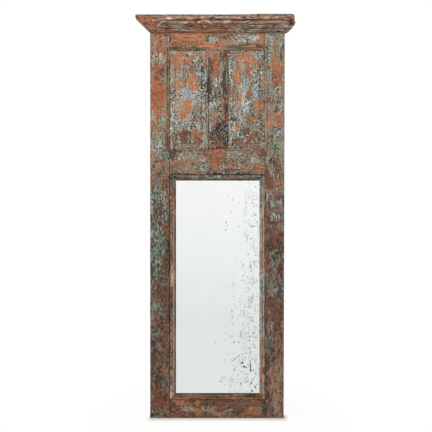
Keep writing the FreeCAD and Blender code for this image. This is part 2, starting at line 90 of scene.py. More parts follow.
def addNode(tree, kind, settings=None, inputs=None, stops=None):
    # settings are the node's own properties, inputs are values or sockets to link
    node = tree.nodes.new(kind)
    for key, value in (settings or {}).items():
        setattr(node, key, value)
    for key, value in (inputs or {}).items():
        if isinstance(value, bpy.types.NodeSocket):
            tree.links.new(value, node.inputs[key])
        else:
            node.inputs[key].default_value = value
    if stops:
        elements = node.color_ramp.elements
        while len(elements) < len(stops):
            elements.new(0.5)
        for element, (position, hexCode) in zip(elements, stops):
            element.position = position
            element.color = linear(hexCode)
    return node


def newMaterial(name):
    material = bpy.data.materials.new(name)
    material.use_nodes = True
    material.node_tree.nodes.clear()
    return material, material.node_tree


# The first socket of a colour Mix node is its factor, the seventh and eighth are the two colours
mixFactor, mixUnder, mixOver = 0, 6, 7
mixColour = {"data_type": "RGBA"}
smoothStep = {"interpolation_type": "SMOOTHSTEP"}
timesPlus = {"operation": "MULTIPLY_ADD"}   # the first input times the second, plus the third
times = {"operation": "MULTIPLY"}

# Old oil paints on the frame, coat over coat, as they look in daylight
paints = {
    "orange": "B97C55", "terracotta": "A2694B", "brick": "A9633E", "rust": "784A35",
    "ochre": "986E4A", "tan": "9A826C", "peach": "B89E8B", "blush": "A97D68", "mauve": "8A736A",
    "umber": "67493A", "bark": "4A3428", "tar": "281F1A", "olive": "5F523C",
    "ice": "A9B5AF", "sky": "9BAFB8", "teal": "708A81", "sage": "8F927F",
    "slate": "69716A", "putty": "A69B89", "cream": "C0B9A4", "chalk": "D5DCD4",
}
# Paints of the brittle middle coats: they break up into crusts of fine flakes with dark pits
crustyPaints = ("ice", "sky", "teal", "sage", "slate", "putty", "cream", "chalk", "tar")

# Patterns in the paint: size in m, detail, roughness
paintPatterns = {
    "wander": (0.050, 2.0, 0.5),      # broad wander of a flake's edge
    "nibble": (0.016, 3.0, 0.65),     # real chips are 1 to 3 mm; drawn coarser so that they show
    "chip": (0.019, 3.0, 0.65),
    "mottle": (1 / 11, 6.0, 0.72),    # a hand's breadth
    "region": (1 / 16, 3.0, 0.5),     # where the specks of one coat lie thicker
    "speck": (0.0074, 1.5, 0.6),      # real specks are finer than a pixel; drawn coarser too
    "fibre": (1, 3.0, 0.6),           # its sizes are grainAcross and grainAlong
}
paintSettings = {
    "flakeStretch": 0.5,       # flakes are this much shorter across the grain than along it
    "wanderReach": 0.070,      # how far the edges of patches wander broadly and finely, m
    "nibbleReach": 0.045,
    "grainAcross": 0.0050,     # drawn coarser than real grain, which is about 1 mm
    "grainAlong": 0.10,
    "chipLift": 0.55,          # how much chips change which ground coat shows
    "coatStops": (0.605, 0.34),     # where the first ground coat lies, and how far on the last is
    "lowerSpan": (1.42, 0.85),      # heights where the lower ground starts and is full, m
    "footSpan": (0.62, 0.30),       # and where the stiles' feet do
    "lowCrust": 1.2,           # the lower ground is this much flakier,
    "lowDirt": 0.06,           # this much dirtier
    "lowLevel": 0.93,          # and this light, where the upper one is 1
    "patchDepth": 0.040,       # how deep from the face a patch reaches round an edge, m
    "patchEdge": 0.25,         # a patch's edge lies this far out plus its cover, in its half widths
    "ragged": 1.8,             # how much chips break up a patch
    "crumbled": {True: 2.4, False: 1.0},   # and how much specks do, in a crusty paint and others
    "softness": {True: 0.22, False: 0.30},
    "crustSpan": (1.5, 0.7),   # where a patch's crust starts and is full
    "calm": 0.16,              # how flaky a sound coat is, where a crust is 1
    "tarFlaky": 0.45,          # tarry dirt holds its flakes together
    "paleStops": (0.36, 0.28),      # where the first pale coat lies, and how far on the last is
    "warmStops": ((0.35, "rust"), (0.5, "orange"), (0.62, "umber")),
    "patchy": 0.35,            # how unevenly specks lie over a piece
    # Specks of each kind: noise channel, how rare they are, how much thicker they lie in a crust
    "specks": {"warm": ("Red", 0.59, 0.02), "pale": ("Green", 0.62, 0.14),
               "dark": ("Blue", 0.63, 0.09)},
    "speckSpan": (0.175, 0.235),    # how far above that rarity they start and are full
    "swing": (1.6, 3.2),       # how far the tone goes from fleck to fleck, in a sound coat and a crust
    # Shades that the wood's fibres give to the paint, and how much so
    "streaks": ((0.33, "8A8078"), (0.48, "E8E4E0"), (0.66, "FFFFFF")),
    "streaked": 0.6,
    "woodStops": (0.34, 0.5, 0.64),     # where in the fibres the three tones of bare wood lie
    # How much a pattern breaks up bare arrises, the bare back, and dirt with painted shade, where
    # each starts and is full, and the most of it
    "wear": (1.6, 1.35, 1.65, 0.8),
    "behind": (0.8, 0.85, 1.05, 1.0),
    "grimeAndShade": (1.1, 0.80, 1.35, 0.92),
    # The colour of dirt, also used for the painted shade in corners, grooves and along the glass
    "dirtAndShadeColour": "241811",
    "roughness": (0.52, 0.86),      # of rubbed paint and chalky paint
    "bumpHeight": 0.0030,      # flakes are 0.2 to 0.5 mm thick; drawn deeper so that they show
    "fibreRelief": 0.4,        # how far fibres and chips stand out, where specks are 1
    "chipRelief": 1.2,
}
# What one finish of old paint can change
paintLook = {
    "lowGround": None,         # ground coats low down, where they differ
    "flaky": 0.35,             # how flaky the ground coats are, where a crust is 1
    "warm": 0.6, "pale": 0.9, "dark": 0.85,   # how much specks of these coats cover
    "sway": (1, 1, 1),         # how much the edges of patches wander along x, y and z
    "palePaints": ("sky", "chalk", "sage", "ice", "cream", "putty"),
    "woodTones": ("4A3324", "755843", "8F745C"),   # bare wood, its dark fibres first
    "level": 1.02,             # how light the whole is
    "speckStretch": 0.75,      # specks are this much shorter across the grain than along it
}


def paintTextures(tree, grain, look):
    # What the coats share: wandering places, mottles, chips, specks and the wood's fibres
    place = addNode(tree, "ShaderNodeTexCoord").outputs["Object"]
    ways = {}
    for way, across, along in (
            ("flake", 1, paintSettings["flakeStretch"]), ("speck", 1, look["speckStretch"]),
            ("fibre", 1 / paintSettings["grainAcross"], 1 / paintSettings["grainAlong"])):
        scale = [across] * 3
        scale["xyz".index(grain)] = along
        ways[way] = addNode(tree, "ShaderNodeMapping",
                            inputs={"Vector": place, "Scale": scale}).outputs[0]
    noises = {}
    for key, (size, detail, roughness) in paintPatterns.items():
        noises[key] = addNode(tree, "ShaderNodeTexNoise",
                              inputs={"Vector": ways.get(key, ways["flake"]), "Scale": 1 / size,
                                      "Detail": detail, "Roughness": roughness})
    patterns = {key: noise.outputs["Fac"] for key, noise in noises.items()}
    for key in ("chip", "region", "speck"):
        patterns[key + "s"] = addNode(tree, "ShaderNodeSeparateColor",
                                      inputs={"Color": noises[key].outputs["Color"]}).outputs

    moved = place
    for key in ("wander", "nibble"):
        reach = paintSettings[key + "Reach"]
        moved = addNode(tree, "ShaderNodeVectorMath", timesPlus,
                        {0: noises[key].outputs["Color"], 1: [reach * way for way in look["sway"]],
                         2: moved}).outputs[0]
    middle = (paintSettings["wanderReach"] + paintSettings["nibbleReach"]) / 2
    patterns["moved"] = addNode(tree, "ShaderNodeVectorMath", {"operation": "ADD"},
                                {0: moved, 1: [-middle * way for way in look["sway"]]}).outputs[0]
    return patterns


def groundCoats(tree, patterns, ground, look):
    # The ground coats: mottled over a hand's breadth and broken up by small flakes
    depth = addNode(tree, "ShaderNodeMath", timesPlus,
                    {0: patterns["chips"]["Red"], 1: paintSettings["chipLift"],
                     2: patterns["mottle"]}).outputs[0]
    first, spread = paintSettings["coatStops"]
    laid = []
    for listed in filter(None, (ground, look["lowGround"])):
        step = spread / (len(listed) - 1)
        stops = [(first + step * i, paints[paint]) for i, paint in enumerate(listed)]
        laid.append(addNode(tree, "ShaderNodeValToRGB", inputs={"Fac": depth}, stops=stops).outputs[0])
    if not look["lowGround"]:
        return laid[0], look["flaky"]
    height = addNode(tree, "ShaderNodeSeparateXYZ", inputs={0: patterns["moved"]}).outputs["Z"]
    for zone in ("lower", "foot"):
        start, full = paintSettings[zone + "Span"]
        patterns[zone] = addNode(tree, "ShaderNodeMapRange", smoothStep,
                                 {"Value": height, "From Min": start, "From Max": full}).outputs[0]
    colour = addNode(tree, "ShaderNodeMix", mixColour,
                     {mixFactor: patterns["lower"], mixUnder: laid[0], mixOver: laid[1]}).outputs[2]
    crust = addNode(tree, "ShaderNodeMapRange",
                    inputs={"Value": patterns["lower"], "To Min": look["flaky"],
                            "To Max": look["flaky"] * paintSettings["lowCrust"]}).outputs[0]
    return colour, crust


def paintIslands(tree, patterns, colour, crust, patches):
    # Islands of one coat, each at its listed place, with crusts round the brittle ones
    flakiness = {paint: 1.0 if paint in crustyPaints else paintSettings["calm"] for paint in paints}
    flakiness["tar"] = paintSettings["tarFlaky"]
    ragged = paintSettings["ragged"]
    lifts = {}
    for crusty, crumble in paintSettings["crumbled"].items():
        for turn, (channel, way) in enumerate((("Green", 1), ("Blue", 1), ("Green", -1), ("Blue", -1))):
            low = addNode(tree, "ShaderNodeMath", timesPlus,
                          {0: patterns["chips"][channel], 1: ragged * way,
                           2: -(ragged + crumble) * way / 2}).outputs[0]
            lifts[crusty, turn] = addNode(tree, "ShaderNodeMath", timesPlus,
                                          {0: patterns["specks"][channel], 1: crumble * way,
                                           2: low}).outputs[0]
    for index, (x, z, wide, high, lean, paint, cover) in enumerate(patches):
        local = addNode(tree, "ShaderNodeMapping", {"vector_type": "TEXTURE"},
                        {"Vector": patterns["moved"],
                         "Location": (patchStart + x / 1000, faceY, z / 1000),
                         "Rotation": (0, math.radians(lean), 0),
                         "Scale": (wide / 1000, paintSettings["patchDepth"], high / 1000)}).outputs[0]
        out = addNode(tree, "ShaderNodeVectorMath", {"operation": "LENGTH"},
                      {0: local}).outputs["Value"]
        crusty = paint in crustyPaints
        broken = addNode(tree, "ShaderNodeMath", {"operation": "ADD"},
                         {0: out, 1: lifts[crusty, index % 4]}).outputs[0]
        edge = paintSettings["patchEdge"] + cover
        soft = paintSettings["softness"][crusty]
        mask = addNode(tree, "ShaderNodeMapRange", smoothStep,
                       {"Value": broken, "From Min": edge + soft, "From Max": edge - soft}).outputs[0]
        colour = addNode(tree, "ShaderNodeMix", mixColour,
                         {mixFactor: mask, mixUnder: colour, mixOver: linear(paints[paint])}).outputs[2]
        zone = mask
        if crusty:
            start, full = paintSettings["crustSpan"]
            zone = addNode(tree, "ShaderNodeMapRange", smoothStep,
                           {"Value": out, "From Min": start, "From Max": full,
                            "To Max": cover}).outputs[0]
        crust = addNode(tree, "ShaderNodeMix",
                        inputs={mixFactor: zone, 2: crust, 3: flakiness[paint]}).outputs[0]
    return colour, crust


def flakedSpecks(tree, patterns, colour, crust, look):
    # Specks where one coat has come away from another, thickest in the crusts
    first, spread = paintSettings["paleStops"]
    last = len(look["palePaints"]) - 1
    stops = {"pale": [(first + spread * i / last, paint) for i, paint in enumerate(look["palePaints"])],
             "warm": paintSettings["warmStops"]}
    coats = {"dark": linear(paints["tar"])}
    for kind, listed in stops.items():
        coats[kind] = addNode(tree, "ShaderNodeValToRGB", inputs={"Fac": patterns["region"]},
                              stops=[(at, paints[paint]) for at, paint in listed]).outputs[0]
    if look["lowGround"]:
        for kind, zone, paint in (("pale", "lower", "sage"), ("pale", "foot", "tan"),
                                  ("warm", "lower", "rust")):
            coats[kind] = addNode(tree, "ShaderNodeMix", mixColour,
                                  {mixFactor: patterns[zone], mixUnder: coats[kind],
                                   mixOver: linear(paints[paint])}).outputs[2]
    start, full = paintSettings["speckSpan"]
    for kind, (channel, rare, thicker) in paintSettings["specks"].items():
        busy = addNode(tree, "ShaderNodeMath", timesPlus,
                       {0: patterns["regions"][channel], 1: paintSettings["patchy"],
                        2: patterns["specks"][channel]}).outputs[0]
        busy = addNode(tree, "ShaderNodeMath", timesPlus, {0: crust, 1: thicker, 2: busy}).outputs[0]
        if look["lowGround"] and kind == "dark":
            busy = addNode(tree, "ShaderNodeMath", timesPlus,
                           {0: patterns["lower"], 1: paintSettings["lowDirt"], 2: busy}).outputs[0]
        mask = addNode(tree, "ShaderNodeMapRange", smoothStep,
                       {"Value": busy, "From Min": rare + start, "From Max": rare + full,
                        "To Max": look[kind]}).outputs[0]
        colour = addNode(tree, "ShaderNodeMix", mixColour,
                         {mixFactor: mask, mixUnder: colour, mixOver: coats[kind]}).outputs[2]
    return colour


def fleckTones(tree, patterns, colour, crust, look):
    # Each fleck of paint is a little lighter or darker than its neighbours, most so in a crust
    swing = addNode(tree, "ShaderNodeMapRange",
                    inputs={"Value": crust, "To Min": paintSettings["swing"][0],
                            "To Max": paintSettings["swing"][1]}).outputs[0]
    level = look["level"]
    if look["lowGround"]:
        level = addNode(tree, "ShaderNodeMapRange",
                        inputs={"Value": patterns["lower"], "To Min": level,
                                "To Max": level * paintSettings["lowLevel"]}).outputs[0]
    tone = addNode(tree, "ShaderNodeMath", {"operation": "SUBTRACT"},
                   {0: patterns["speck"], 1: 0.5}).outputs[0]
    tone = addNode(tree, "ShaderNodeMath", timesPlus, {0: tone, 1: swing, 2: level}).outputs[0]
    return addNode(tree, "ShaderNodeHueSaturation", inputs={"Value": tone, "Color": colour}).outputs[0]


def woodDirtAndShade(tree, patterns, colour, look):
    # Grain shows through the paint, arrises and the back are bare wood, and dirt with painted shade darkens
    # the grooves
    streak = addNode(tree, "ShaderNodeValToRGB", inputs={"Fac": patterns["fibre"]},
                     stops=paintSettings["streaks"]).outputs[0]
    colour = addNode(tree, "ShaderNodeMix", dict(mixColour, blend_type="MULTIPLY"),
                     {mixFactor: paintSettings["streaked"], mixUnder: colour, mixOver: streak}).outputs[2]
    wood = addNode(tree, "ShaderNodeValToRGB", inputs={"Fac": patterns["fibre"]},
                   stops=list(zip(paintSettings["woodStops"], look["woodTones"]))).outputs[0]
    for key, pattern, over in (("wear", patterns["chips"]["Green"], wood),
                               ("behind", patterns["mottle"], wood),
                               ("grimeAndShade", patterns["chips"]["Red"], linear(paintSettings["dirtAndShadeColour"]))):
        broken, start, full, most = paintSettings[key]
        amount = addNode(tree, "ShaderNodeAttribute", {"attribute_name": key}).outputs["Fac"]
        amount = addNode(tree, "ShaderNodeMath", timesPlus,
                         {0: pattern, 1: broken, 2: amount}).outputs[0]
        amount = addNode(tree, "ShaderNodeMapRange", smoothStep,
                         {"Value": amount, "From Min": start, "From Max": full,
                          "To Max": most}).outputs[0]
        colour = addNode(tree, "ShaderNodeMix", mixColour,
                         {mixFactor: amount, mixUnder: colour, mixOver: over}).outputs[2]
    return colour


def oldPaint(name, grain, ground, patches, **changes):
    # Brittle oil paint in many coats on old hardwood, flaked and rubbed: dull, chalky, with
    # ragged islands of each coat, dark dirt and painted shade in the low places and bare wood on the arrises
    look = dict(paintLook, **changes)
    material, tree = newMaterial(name)
    patterns = paintTextures(tree, grain, look)
    colour, crust = groundCoats(tree, patterns, ground, look)
    colour, crust = paintIslands(tree, patterns, colour, crust, patches)
    colour = flakedSpecks(tree, patterns, colour, crust, look)
    colour = fleckTones(tree, patterns, colour, crust, look)
    colour = woodDirtAndShade(tree, patterns, colour, look)

    rough = addNode(tree, "ShaderNodeMapRange",
                    inputs={"Value": patterns["speck"], "From Min": 0.3, "From Max": 0.7,
                            "To Min": paintSettings["roughness"][0],
                            "To Max": paintSettings["roughness"][1]}).outputs[0]
    relief = patterns["speck"]
    for key in ("fibre", "chip"):
        relief = addNode(tree, "ShaderNodeMath", timesPlus,
                         {0: patterns[key], 1: paintSettings[key + "Relief"], 2: relief}).outputs[0]
    bump = addNode(tree, "ShaderNodeBump",
                   inputs={"Strength": 0.8, "Distance": paintSettings["bumpHeight"],
                           "Height": relief}).outputs[0]
    shader = addNode(tree, "ShaderNodeBsdfPrincipled",
                     inputs={"Base Color": colour, "Roughness": rough, "Normal": bump,
                             "IOR": 1.48, "Specular IOR Level": 0.35})
    addNode(tree, "ShaderNodeOutputMaterial", inputs={"Surface": shader.outputs[0]})
    return material


# Wear of the solids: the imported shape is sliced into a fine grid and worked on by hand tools'
# marks, knocks and a century of rubbing
wearSettings = {
    "weldWithin": 0.00001,     # corners nearer than this are one, m
    "flatWithin": math.radians(1),   # faces that turn less than this are joined
    "shortEdge": 0.007,        # shorter edges, such as those of nail holes, keep their shape
    "sharpTurn": math.radians(28),   # from here on an edge is an arris or a corner
    "slant": 0.3,              # a mitre's edge leans at least this much both ways
    "steep": 0.5,              # and an edge that runs less than this much along x goes across it
    "sameFace": 0.0015,        # an edge this near to where a piece butts against another stays sharp
    "nearLines": (0.0011, 0.0028),   # extra grid lines beside each arris, so that it can round
    "smoothTurn": math.radians(34),  # and from here on it is drawn sharp
    "arrisSwing": (1.1, 0.9),  # an arris's radius, in its own size, and how far that swings
    "arrisLength": 0.035,      # over what length it changes, m
    "leastRadius": 0.0002,
    "rounding": 0.42,          # how much of the radius an arris loses
    "knockSize": 0.022,        # how wide knocks, dents and hollows are, m
    "dentSize": 0.020,
    "hollowSize": 0.09,
    "knockFrom": 0.45,         # the higher, the rarer knocks and dents are
    "dentFrom": 0.55,
    "grainSize": (0.012, 0.14),      # raised grain, across and along
    "grainShares": (0.6, 0.4),       # of the coarse and the fine grain
    "cornerReach": 0.0026,     # how far dirt and painted shade reach from a corner, a seam and the glass edge, m
    "seamReach": 0.0030,
    "glassEdgeShadeReach": 0.0035,
    "faceDepth": 0.004,        # a seam marks the face to this depth
    "unevenDarkSize": 0.045,       # dirt and painted shade are broken up in places of this size
    "unevenDark": (0.75, 0.55, 0.2, 1.15),   # how much of them is left there: middle, swing, least and most
    "bareBlend": 0.008,        # over what depth paint gives way to bare wood
    "bareTurn": (0.3, 3.0),    # and how far a face has to look back, and how sharply it counts
}
# What a worn piece can change: grid is the grid's step in mm along x, y and z; grain is the way of
# the wood; arris, knock, relief, hollow and dent are sizes in mm
pieceLook = {
    "mitred": False,           # its ends are mitred in the plane of the face, and stay sharp
    "flushAt": None,           # x of the face that it butts against
    "bareFrom": 10,            # y in mm where its paint ends
    "wearReach": 0.008,        # how far bare wood reaches from an arris, m
    # How dark concave corners get: partly dirt, partly painted shade
    "cornerDirtAndShade": 1.0,
    "glassEdgeShade": None,             # painted shade along an edge: axis, place and how dark
    "rubbedEnd": None,
    "risen": None,
    "lowMaterial": None,
}


def softNoise(points, size, seed):
    # Smooth noise from -1 to 1 with features of about this size, one value for each point
    scaled = points / np.asarray(size, float)
    cell = np.floor(scaled).astype(np.int64)
    part = scaled - cell
    part = part * part * (3 - 2 * part)
    total = np.zeros(len(points))
    # Large odd numbers scatter the cells' own numbers into chance values
    for corner in range(8):
        step = np.array([(corner >> axis) & 1 for axis in range(3)])
        key = ((cell + step) * np.array([73856093, 19349663, 83492791])).sum(1) + seed * 2654435761
        key = (key ^ (key >> 15)) * 2246822519 & 0xFFFFFFFF
        key = (key ^ (key >> 13)) * 3266489917 & 0xFFFFFFFF
        value = ((key ^ (key >> 16)) & 0xFFFFFF) / 0x800000 - 1
        total += value * np.prod(np.where(step, part, 1 - part), axis=1)
    return total


def slicePiece(bm, faces, axis, places):
    # Cuts the faces by planes across one axis, the middle plane first
    if not places or not faces:
        return
    half = len(places) // 2
    point, across = Vector(), Vector()
    point[axis], across[axis] = places[half], 1
    corners = {corner for face in faces for corner in face.verts}
    edges = {edge for face in faces for edge in face.edges}
    cut = bmesh.ops.bisect_plane(bm, geom=[*faces, *edges, *corners], dist=0.000001,
                                 plane_co=point, plane_no=across)
    low, high = [], []
    for part in cut["geom"]:
        if isinstance(part, bmesh.types.BMFace):
            (low if part.calc_center_median()[axis] < places[half] else high).append(part)
    slicePiece(bm, low, axis, places[:half])
    slicePiece(bm, high, axis, places[half + 1:])


def distanceTo(points, start, end):
    along = end - start
    share = np.clip((points - start) @ along / (along @ along), 0, 1)
    return np.linalg.norm(points - (start + share[:, None] * along), axis=1)


# Dark lines on the frame's face: dirt at joints, and painted shade in the muntin's quirks, in the cornice's
# groove and quirk, under the cornice and down the frame's outer edges: x0, z0, x1, z1 and how dark
quirkLeft, quirkRight = muntinLeft + 0.0105, muntinRight - 0.0118
crownQuirk, crownGroove = crownBottom + 0.057, crownBottom + 0.079
seamsAndShadeLines = [
    (innerLeft, 0, innerLeft, mirrorBottom, 0.2), (innerRight, 0, innerRight, mirrorBottom, 0.75),
    (innerLeft, mirrorTop, innerLeft, panelBottom, 0.55),
    (innerRight, mirrorTop, innerRight, panelBottom, 0.4),
    (innerLeft, panelTop, innerLeft, crownBottom, 0.5),
    (innerRight, panelTop, innerRight, crownBottom, 0.3),
    (innerLeft, mirrorBottom, innerLeft, mirrorTop, 1.0),
    (innerRight, mirrorBottom, innerRight, mirrorTop, 1.0),
    (innerLeft, mirrorTop + 0.002, innerRight, mirrorTop + 0.002, 1.3),
    (innerLeft, mirrorBottom, innerRight, mirrorBottom, 0.9),
    (innerLeft, panelBottom, innerLeft, panelTop, 0.85),
    (innerRight, panelBottom, innerRight, panelTop, 0.85),
    (innerLeft, panelBottom, innerRight, panelBottom, 0.9),
    (muntinLeft, panelTop, muntinRight, panelTop, 0.45),
    # Painted shade in the quirks beside the muntin
    (quirkLeft, 1.49, quirkLeft, 1.62, 1.3), (quirkLeft, 1.33, quirkLeft, 1.41, 1.2),
    (quirkRight, 1.52, quirkRight, 1.66, 1.1), (quirkRight, 1.30, quirkRight, 1.50, 1.2),
    (innerLeft, mirrorTop, innerLeft + 0.027, mirrorTop - 0.024, 1.2),
    (innerRight, mirrorTop, innerRight - 0.024, mirrorTop - 0.024, 0.8),
    # Painted shade: under the cornice, in its groove and quirk, and down the frame's outer edges where the
    # arrises lie in shade
    (frameLeft, crownBottom, frameRight, crownBottom, 0.5),
    (frameLeft - 0.06, crownGroove, frameRight + 0.06, crownGroove, 1.0),
    (frameLeft + 0.10, crownQuirk, frameRight, crownQuirk, 0.9),
    (frameRight, 1.70, frameRight - 0.006, 0.05, 0.7),
    (frameLeft, 0.65, frameLeft, 0.02, 0.5),
]


def findEdges(bm, look):
    # Sharp edges: the arrises stand out, with the way into the wood, and the corners lie in
    arrises, corners = [], []
    for edge in bm.edges:
        if len(edge.link_faces) != 2 or edge.calc_length() < wearSettings["shortEdge"]:
            continue
        turn = edge.calc_face_angle_signed(0)
        along = (edge.verts[1].co - edge.verts[0].co).normalized()
        mitre = look["mitred"] and min(abs(along.x), abs(along.z)) > wearSettings["slant"]
        flush = look["flushAt"] is not None and abs(along.x) < wearSettings["steep"] and any(
            abs(corner.co.x - look["flushAt"]) < wearSettings["sameFace"] for corner in edge.verts)
        if abs(turn) < wearSettings["sharpTurn"] or mitre or flush:
            continue
        start, end = [np.array(corner.co) for corner in edge.verts]
        if turn > 0:
            inward = -(edge.link_faces[0].normal + edge.link_faces[1].normal).normalized()
            arrises.append((start, end, np.array(inward)))
        else:
            corners.append((start, end))
    return arrises, corners


def gridPiece(bm, node, look):
    # Slices the piece into a grid, with extra lines beside its outer faces
    lowest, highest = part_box(node)
    for axis in range(3):
        step = look["grid"][axis] / 1000
        places = list(np.arange(lowest[axis] + step, highest[axis] - step / 2, step))
        for near in wearSettings["nearLines"]:
            places += [lowest[axis] + near, highest[axis] - near]
        slicePiece(bm, list(bm.faces), axis, sorted(places))
    bmesh.ops.triangulate(bm, faces=[face for face in bm.faces if len(face.verts) > 4])
    bm.normal_update()


def roundArrises(points, arrises, look):
    # Arrises round off by a radius that changes along them, with a knock here and there
    even, swing = wearSettings["arrisSwing"]
    rare = wearSettings["knockFrom"]
    uneven = even + swing * softNoise(points, wearSettings["arrisLength"], look["seed"])
    radius = look["arris"] * 0.001 * uneven
    knock = softNoise(points, wearSettings["knockSize"], look["seed"] + 1)
    radius = radius + np.clip(knock - rare, 0, 1) / (1 - rare) * look["knock"] * 0.001
    push = np.zeros_like(points)
    wear = np.zeros(len(points))
    for start, end, inward in arrises:
        gap = distanceTo(points, start, end)
        share = np.clip(1 - gap / np.maximum(radius, wearSettings["leastRadius"]), 0, 1)
        push += inward * (share ** 2 * radius * wearSettings["rounding"])[:, None]
        wear = np.maximum(wear, np.clip(1 - gap / look["wearReach"], 0, 1))
    return push, wear


def settleDirtAndShade(points, corners, wear, look):
    # Dirt and painted shade darken corners and seams, painted shade darkens the edge along the glass, and
    # both hide bare wood there
    grimeAndShade = np.zeros(len(points))
    # Concave corners darken: partly dirt, partly painted shade where the corner lies in shade
    for start, end in corners:
        near = np.exp(-(distanceTo(points, start, end) / wearSettings["cornerReach"]) ** 2)
        grimeAndShade = np.maximum(grimeAndShade, near * look["cornerDirtAndShade"])
    onFace = points[:, 1] < faceY + wearSettings["faceDepth"]
    for x0, z0, x1, z1, strength in seamsAndShadeLines:
        gap = distanceTo(points * (1, 0, 1), np.array([x0, 0, z0]), np.array([x1, 0, z1]))
        dark = np.exp(-(gap / wearSettings["seamReach"]) ** 2) * onFace * strength
        grimeAndShade = np.maximum(grimeAndShade, dark)
        wear = wear * (1 - dark)
    # Painted shade along the edge next to the glass
    if look["glassEdgeShade"]:
        axis, place, strength = look["glassEdgeShade"]
        dark = strength * np.exp(-((points[:, axis] - place) / wearSettings["glassEdgeShadeReach"]) ** 2)
        grimeAndShade = np.maximum(grimeAndShade, dark)
        wear = wear * np.clip(1 - dark, 0, 1)
    # Dirt and painted shade are made uneven: in places they are thinner
    middle, swing, least, most = wearSettings["unevenDark"]
    uneven = middle + swing * softNoise(points, wearSettings["unevenDarkSize"], look["seed"] + 6)
    return grimeAndShade * np.clip(uneven, least, most), wear


def hollowFaces(points, look):
    # The faces are not quite flat: broad hollows, raised grain and small dents, in metres
    across, along = wearSettings["grainSize"]
    size = [across] * 3
    size["xyz".index(look["grain"])] = along
    coarse, fine = wearSettings["grainShares"]
    raised = (softNoise(points, size, look["seed"] + 2) * coarse
              + softNoise(points, [length / 2 for length in size], look["seed"] + 3) * fine)
    hollow = softNoise(points, wearSettings["hollowSize"], look["seed"] + 4)
    rare = wearSettings["dentFrom"]
    dent = softNoise(points, wearSettings["dentSize"], look["seed"] + 5)
    dent = np.clip(dent - rare, 0, 1) / (1 - rare)
    return (look["relief"] * (0.5 + 0.5 * raised) + look["hollow"] * (0.5 + 0.5 * hollow)
            + look["dent"] * dent ** 2) * 0.001


def rubAndWarp(points, node, look):
    lowest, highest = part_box(node)
    if look["rubbedEnd"]:
        # The board's upper corner at the right has been rubbed round
        reach = np.array(look["rubbedEnd"])
        out = np.clip((points[:, [0, 2]] - (highest.x, highest.z)) / reach + 1, 0, None)
        over = np.maximum(np.linalg.norm(out, axis=1), 1)
        points[:, [0, 2]] -= out * (1 - 1 / over)[:, None] * reach
    if look["risen"]:
        # An old board that has warped, most at its right end
        risen = look["risen"]
        share = np.clip((points[:, 0] - risen["from"]) / risen["over"], 0, 1)
        lift = risen["left"] + (risen["right"] - risen["left"]) * share
        points[:, 2] += lift * np.clip((points[:, 2] - lowest[2]) / (highest[2] - lowest[2]), 0, 1)


def wornPiece(node, look):
    look = dict(pieceLook, **look)
    bm = bmesh.new()
    bm.from_mesh(cadNodes[node].data)
    bmesh.ops.remove_doubles(bm, verts=bm.verts, dist=wearSettings["weldWithin"])
    bmesh.ops.dissolve_limit(bm, angle_limit=wearSettings["flatWithin"], verts=bm.verts,
                             edges=bm.edges)
    bm.normal_update()
    arrises, corners = findEdges(bm, look)
    gridPiece(bm, node, look)

    points = np.array([vertex.co for vertex in bm.verts])
    normals = np.array([vertex.normal for vertex in bm.verts])
    push, wear = roundArrises(points, arrises, look)
    grimeAndShade, wear = settleDirtAndShade(points, corners, wear, look)
    points = points + push - normals * hollowFaces(points, look)[:, None]
    rubAndWarp(points, node, look)
    for index, vertex in enumerate(bm.verts):
        vertex.co = points[index]

    mesh = bpy.data.meshes.new("worn_" + node)
    bm.to_mesh(mesh)
    bm.free()
    if "custom_normal" in mesh.attributes:
        mesh.attributes.remove(mesh.attributes["custom_normal"])
    lookBack, sharply = wearSettings["bareTurn"]
    deep = (points[:, 1] - look["bareFrom"] / 1000) / wearSettings["bareBlend"]
    behind = np.clip(np.maximum(deep, (normals[:, 1] - lookBack) * sharply), 0, 1)
    # The darkening attribute holds dirt and painted shade together
    for key, values in (("wear", wear), ("grimeAndShade", grimeAndShade), ("behind", behind)):
        mesh.attributes.new(key, "FLOAT", "POINT").data.foreach_set("value", values.astype(np.float32))
    mesh.shade_smooth()
    mesh.set_sharp_from_angle(angle=wearSettings["smoothTurn"])
    mesh.materials.clear()
    mesh.materials.append(look["material"])
    if look["lowMaterial"]:
        mesh.materials.append(look["lowMaterial"])
        lowFaces = [face.center.z < look["changeAt"] for face in mesh.polygons]
        mesh.polygons.foreach_set("material_index", lowFaces)
    piece = bpy.data.objects.new("worn_" + node, mesh)
    bpy.context.scene.collection.objects.link(piece)
    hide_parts(node)
    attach(piece, "frame")
    print("worn piece:", node, len(mesh.polygons), "faces")


